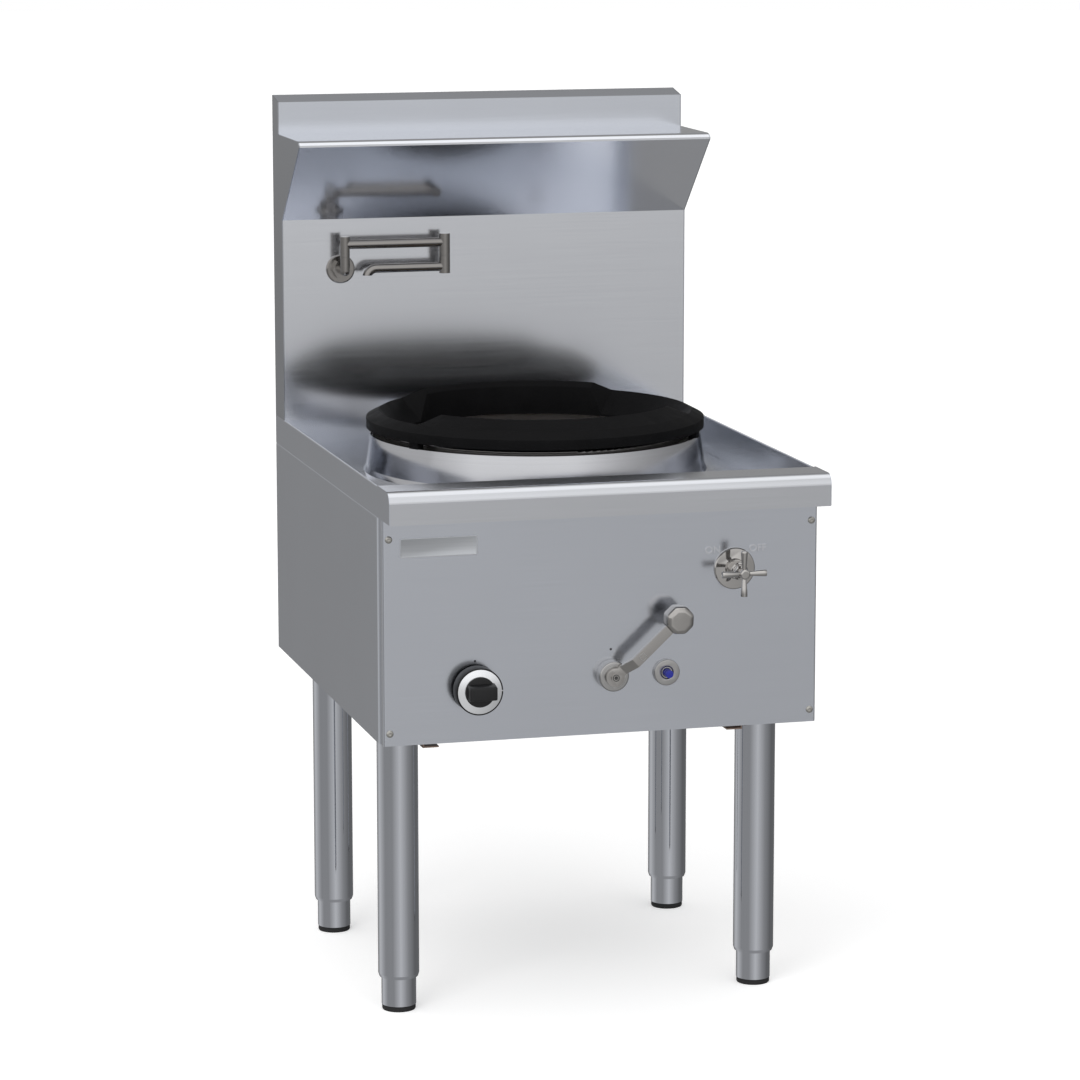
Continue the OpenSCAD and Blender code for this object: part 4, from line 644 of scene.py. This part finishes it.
# %% Cross handle
HANDLE_FRONT = PANEL_Y - 0.055
CROSS_RADIUS, CROSS_BACK, CROSS_EDGE = 0.0076, HANDLE_FRONT + 0.0145, 0.0030
CROSS_DOME = (0.0030, 0.0001)
ARM_AXIS_Y = HANDLE_FRONT + 0.0075
ARM_ROOT, ARM_TIP = 0.0031, 0.0049
ARM_START, ARM_END = 0.0045, 0.0330
ARM_COLLAR, ARM_RIM, ARM_HOLLOW, ARM_EDGE = 0.004, 0.0012, 0.0006, 0.0004
STEM_RADIUS, STEM_FRONT, STEM_BACK = 0.0042, HANDLE_FRONT + 0.010, PANEL_Y + 0.036
NECK_RADIUS, NECK_FRONT, NECK_BACK, NECK_EDGE = 0.0060, HANDLE_FRONT + 0.0135, HANDLE_FRONT + 0.0195, 0.0007
GLAND_RADIUS, GLAND_FRONT, GLAND_BACK, GLAND_EDGE = 0.0130, PANEL_Y - 0.026, PANEL_Y - 0.004, 0.0009
GLAND_STEP = (0.0030, -0.0020)

hub = disc(VALVE_X, VALVE_Z, HANDLE_FRONT, CROSS_BACK, CROSS_RADIUS, 48)
dome_face(hub, CROSS_DOME)
round_edges(hub, CROSS_EDGE, 5)

clear_selection()
bpy.ops.mesh.primitive_cylinder_add(
    vertices=32, radius=ARM_ROOT, depth=ARM_END - ARM_START - ARM_COLLAR, rotation=(0, math.pi / 2, 0),
    location=(VALVE_X + (ARM_START + ARM_END - ARM_COLLAR) / 2, ARM_AXIS_Y, VALVE_Z))
arm = bpy.context.object
bake_place()
pick_faces(arm, lambda centre, normal: normal.x > FACING)
bpy.ops.transform.resize(value=(1, ARM_TIP / ARM_ROOT, ARM_TIP / ARM_ROOT))
bpy.ops.mesh.extrude_region_move(TRANSFORM_OT_translate={"value": (ARM_COLLAR, 0, 0)})
bpy.ops.mesh.inset(thickness=ARM_RIM, depth=0)
bpy.ops.mesh.extrude_region_move(TRANSFORM_OT_translate={"value": (-ARM_HOLLOW, 0, 0)})
bpy.ops.object.mode_set(mode="OBJECT")
round_edges(arm, ARM_EDGE, 2)

arms = [arm]
for quarter in range(1, 4):
    copy = arm.copy()
    copy.data = arm.data.copy()
    bpy.context.scene.collection.objects.link(copy)
    copy.data.transform(Matrix.Translation((VALVE_X, 0, VALVE_Z)) @ Matrix.Rotation(
        quarter * math.pi / 2, 4, "Y") @ Matrix.Translation((-VALVE_X, 0, -VALVE_Z)))
    arms.append(copy)
stem = disc(VALVE_X, VALVE_Z, STEM_FRONT, STEM_BACK, STEM_RADIUS, 32)
neck = disc(VALVE_X, VALVE_Z, NECK_FRONT, NECK_BACK, NECK_RADIUS, 48)
round_edges(neck, NECK_EDGE, 2)
handle = join_all([hub, stem, neck] + arms)
hand_over(handle, "cross_handle", chrome, "water_handle", ("water_handle",), 40)

gland = disc(VALVE_X, VALVE_Z, GLAND_FRONT, GLAND_BACK, GLAND_RADIUS, 64)
step_face(gland, GLAND_STEP)
round_edges(gland, GLAND_EDGE, 3)
hand_over(gland, "valve_gland", chrome, "range")

# %% [markdown]
# The screws that hold the front panel have low domed heads with a socket. Each is made from a disc whose front is
# inset twice, each time pulled forward a little less, and its middle pushed in. The four are joined to one piece.

# %% Panel screws
SCREW_RADIUS, SCREW_RIM, SCREW_EDGE = 0.0052, 0.0011, 0.0002
SCREW_DOME = ((0.0012, 0.0009), (0.0013, 0.0005))
SCREW_SOCKET = (0.0006, 0.0014)
SCREW_PLACES = [(x, z) for x in (-0.3135, 0.3135) for z in (0.723, 0.443)]

screws = []
for x, z in SCREW_PLACES:
    screw = disc(x, z, PANEL_Y - SCREW_RIM, PANEL_Y, SCREW_RADIUS, 36)
    dome_face(screw, *SCREW_DOME)
    step_face(screw, SCREW_SOCKET)
    round_edges(screw, SCREW_EDGE, 2)
    screws.append(screw)
hand_over(join_all(screws), "screw_heads", bolt_steel, "range", ("panel_screws",), 60)

# %% [markdown]
# Small marks finish the panel: a blank plate with a raised border, the words at the water valve, pressed out from
# behind, and a small index point with a sunk middle above the knob and one above the lever.

# %% Plate, words and marks
PLATE_STEP, PLATE_EDGE = (0.0014, 0.0003), 0.00018
WORDS = (("ON", 0.1645), ("OFF", 0.2322))
WORD_Z, WORD_HEIGHT = 0.6812, 0.0148
WORD_RAISE, WORD_BEVEL, WORD_WEIGHT = 0.0008, 0.00025, 0.0003
SINK = 0.0002  # how far words and points reach into the panel
POINTS = (("knob", KNOB_X, 0.542), ("lever", LEVER_X, 0.5486))
POINT_RADIUS, POINT_RISE = 0.0017, 0.00025
POINT_STEP = (0.0004, 0.0002)

plate = welded_copy("badge_plate", "badge_blank")
step_face(plate, PLATE_STEP)
round_edges(plate, PLATE_EDGE, 2)
hand_over(plate, "badge_blank", plate_metal, "range", ("badge_plate",))

# The words take the lighter copy of the steel, which is painted light, so they read brighter than the panel.
for word, x in WORDS:
    clear_selection()
    bpy.ops.object.text_add(location=(x, PANEL_Y + SINK, WORD_Z), rotation=(math.pi / 2, 0, 0))
    lettering = bpy.context.object.data
    lettering.body = word
    lettering.size = WORD_HEIGHT
    lettering.align_x = "CENTER"
    lettering.extrude = WORD_RAISE
    lettering.bevel_depth = WORD_BEVEL
    lettering.offset = WORD_WEIGHT
    bpy.ops.object.convert(target="MESH")
    hand_over(bpy.context.object, "word_" + word.lower(), steel_painted_lighter, "range")

for label, x, z in POINTS:
    point = disc(x, z, PANEL_Y - POINT_RISE, PANEL_Y + SINK, POINT_RADIUS, 24)
    step_face(point, POINT_STEP)
    hand_over(point, "index_point_" + label, mark_paint, "range")

# %% [markdown]
# The knee lever is a nickel-plated casting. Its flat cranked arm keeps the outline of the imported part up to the
# block. There it is cut off square, and the block is made again from an eight-sided prism whose front edges get a
# wide rounded bevel, because the wide soft edge is what a knee meets. A raised rounded square marks the arm, and a
# screw with a socket holds the hub.

# %% Knee lever
BLOCK_X, BLOCK_Z = 0.102, 0.595
LEVER_ANGLE = math.radians(42.8)
ARM_LEFT_FROM_BLOCK, LEVER_EDGE = 0.0185, 0.0016
BLOCK_FRONT, BLOCK_DEPTH, BLOCK_HALF = PANEL_Y - 0.053, 0.0245, 0.0203
BLOCK_SIDES, BLOCK_BEVEL, BLOCK_PROFILE, BLOCK_EDGE = 8, 0.0088, 0.55, 0.0032
MARK_X, MARK_Z, MARK_FRONT = 0.0478, 0.5438, PANEL_Y - 0.0435
MARK_SIDE, MARK_CORNER, MARK_LINE = 0.0100, 0.0024, 0.0011
MARK_RISE, MARK_DEPTH, MARK_EDGE = 0.00012, 0.0009, 0.0002
SPINDLE_FRONT = -0.3705
BOLT_RADIUS, BOLT_RISE, BOLT_SINK, BOLT_EDGE = 0.0050, 0.0007, 0.002, 0.0002
BOLT_STEPS = ((0.0010, 0.0010), (0.0014, 0.0012))

along = Vector((math.cos(LEVER_ANGLE), 0, math.sin(LEVER_ANGLE)))
arm = welded_copy("knee_lever", "lever_arm")
bpy.ops.object.mode_set(mode="EDIT")
bpy.ops.mesh.select_all(action="SELECT")
bpy.ops.mesh.bisect(
    plane_co=Vector((BLOCK_X, 0, BLOCK_Z)) - along * ARM_LEFT_FROM_BLOCK, plane_no=along, use_fill=True,
    clear_outer=True)
bpy.ops.object.mode_set(mode="OBJECT")
round_edges(arm, LEVER_EDGE, 4)

clear_selection()
bpy.ops.mesh.primitive_cylinder_add(
    vertices=BLOCK_SIDES, radius=BLOCK_HALF / math.cos(math.pi / BLOCK_SIDES), depth=BLOCK_DEPTH,
    location=(BLOCK_X, BLOCK_FRONT + BLOCK_DEPTH / 2, BLOCK_Z))
block = bpy.context.object
block.rotation_euler = (math.pi / 2, math.pi / BLOCK_SIDES - LEVER_ANGLE, 0)
bake_place()
front_face(block)
bpy.ops.mesh.bevel(offset=BLOCK_BEVEL, segments=6, profile=BLOCK_PROFILE, affect="EDGES")
bpy.ops.object.mode_set(mode="OBJECT")
round_edges(block, BLOCK_EDGE, 5, 24)
lever = join_all([arm, block])
hand_over(lever, "knee_lever_cast", nickel_casting, "knee_lever", ("knee_lever",), 40)

clear_selection()
bpy.ops.mesh.primitive_plane_add(size=MARK_SIDE, location=(MARK_X, MARK_FRONT - MARK_RISE, MARK_Z))
mark = bpy.context.object
mark.rotation_euler = (math.pi / 2, -LEVER_ANGLE, 0)
bake_place()
bpy.ops.object.mode_set(mode="EDIT")
bpy.ops.mesh.bevel(offset=MARK_CORNER, segments=4, affect="VERTICES")
bpy.ops.mesh.select_all(action="SELECT")
bpy.ops.mesh.inset(thickness=MARK_LINE, depth=0)
bpy.ops.mesh.delete(type="FACE")
bpy.ops.object.mode_set(mode="OBJECT")
apply_modifier(mark, "SOLIDIFY", thickness=MARK_DEPTH, offset=0)
round_edges(mark, MARK_EDGE, 2)
hand_over(mark, "lever_mark", lever_flange_steel, "knee_lever")

bolt = disc(LEVER_X, LEVER_Z, SPINDLE_FRONT - BOLT_RISE, SPINDLE_FRONT + BOLT_SINK, BOLT_RADIUS, 40)
step_face(bolt, *BOLT_STEPS)
round_edges(bolt, BOLT_EDGE, 2)
hand_over(bolt, "lever_screw", socket_dark, "knee_lever")

# %% [markdown]
# A thin sleeve fills the gap round the igniter's plunger, as a push button has to guide it.

# %% Button sleeve
SLEEVE_RADIUS, SLEEVE_FRONT, SLEEVE_BACK = 0.0083, PANEL_Y - 0.0060, PANEL_Y - 0.0005
SLEEVE_STEP, SLEEVE_EDGE = (0.0021, 0.0050), 0.0003

sleeve = disc(BUTTON_X, BUTTON_Z, SLEEVE_FRONT, SLEEVE_BACK, SLEEVE_RADIUS, 48)
step_face(sleeve, SLEEVE_STEP)
round_edges(sleeve, SLEEVE_EDGE, 2)
hand_over(sleeve, "button_sleeve", bezel_steel, "range")
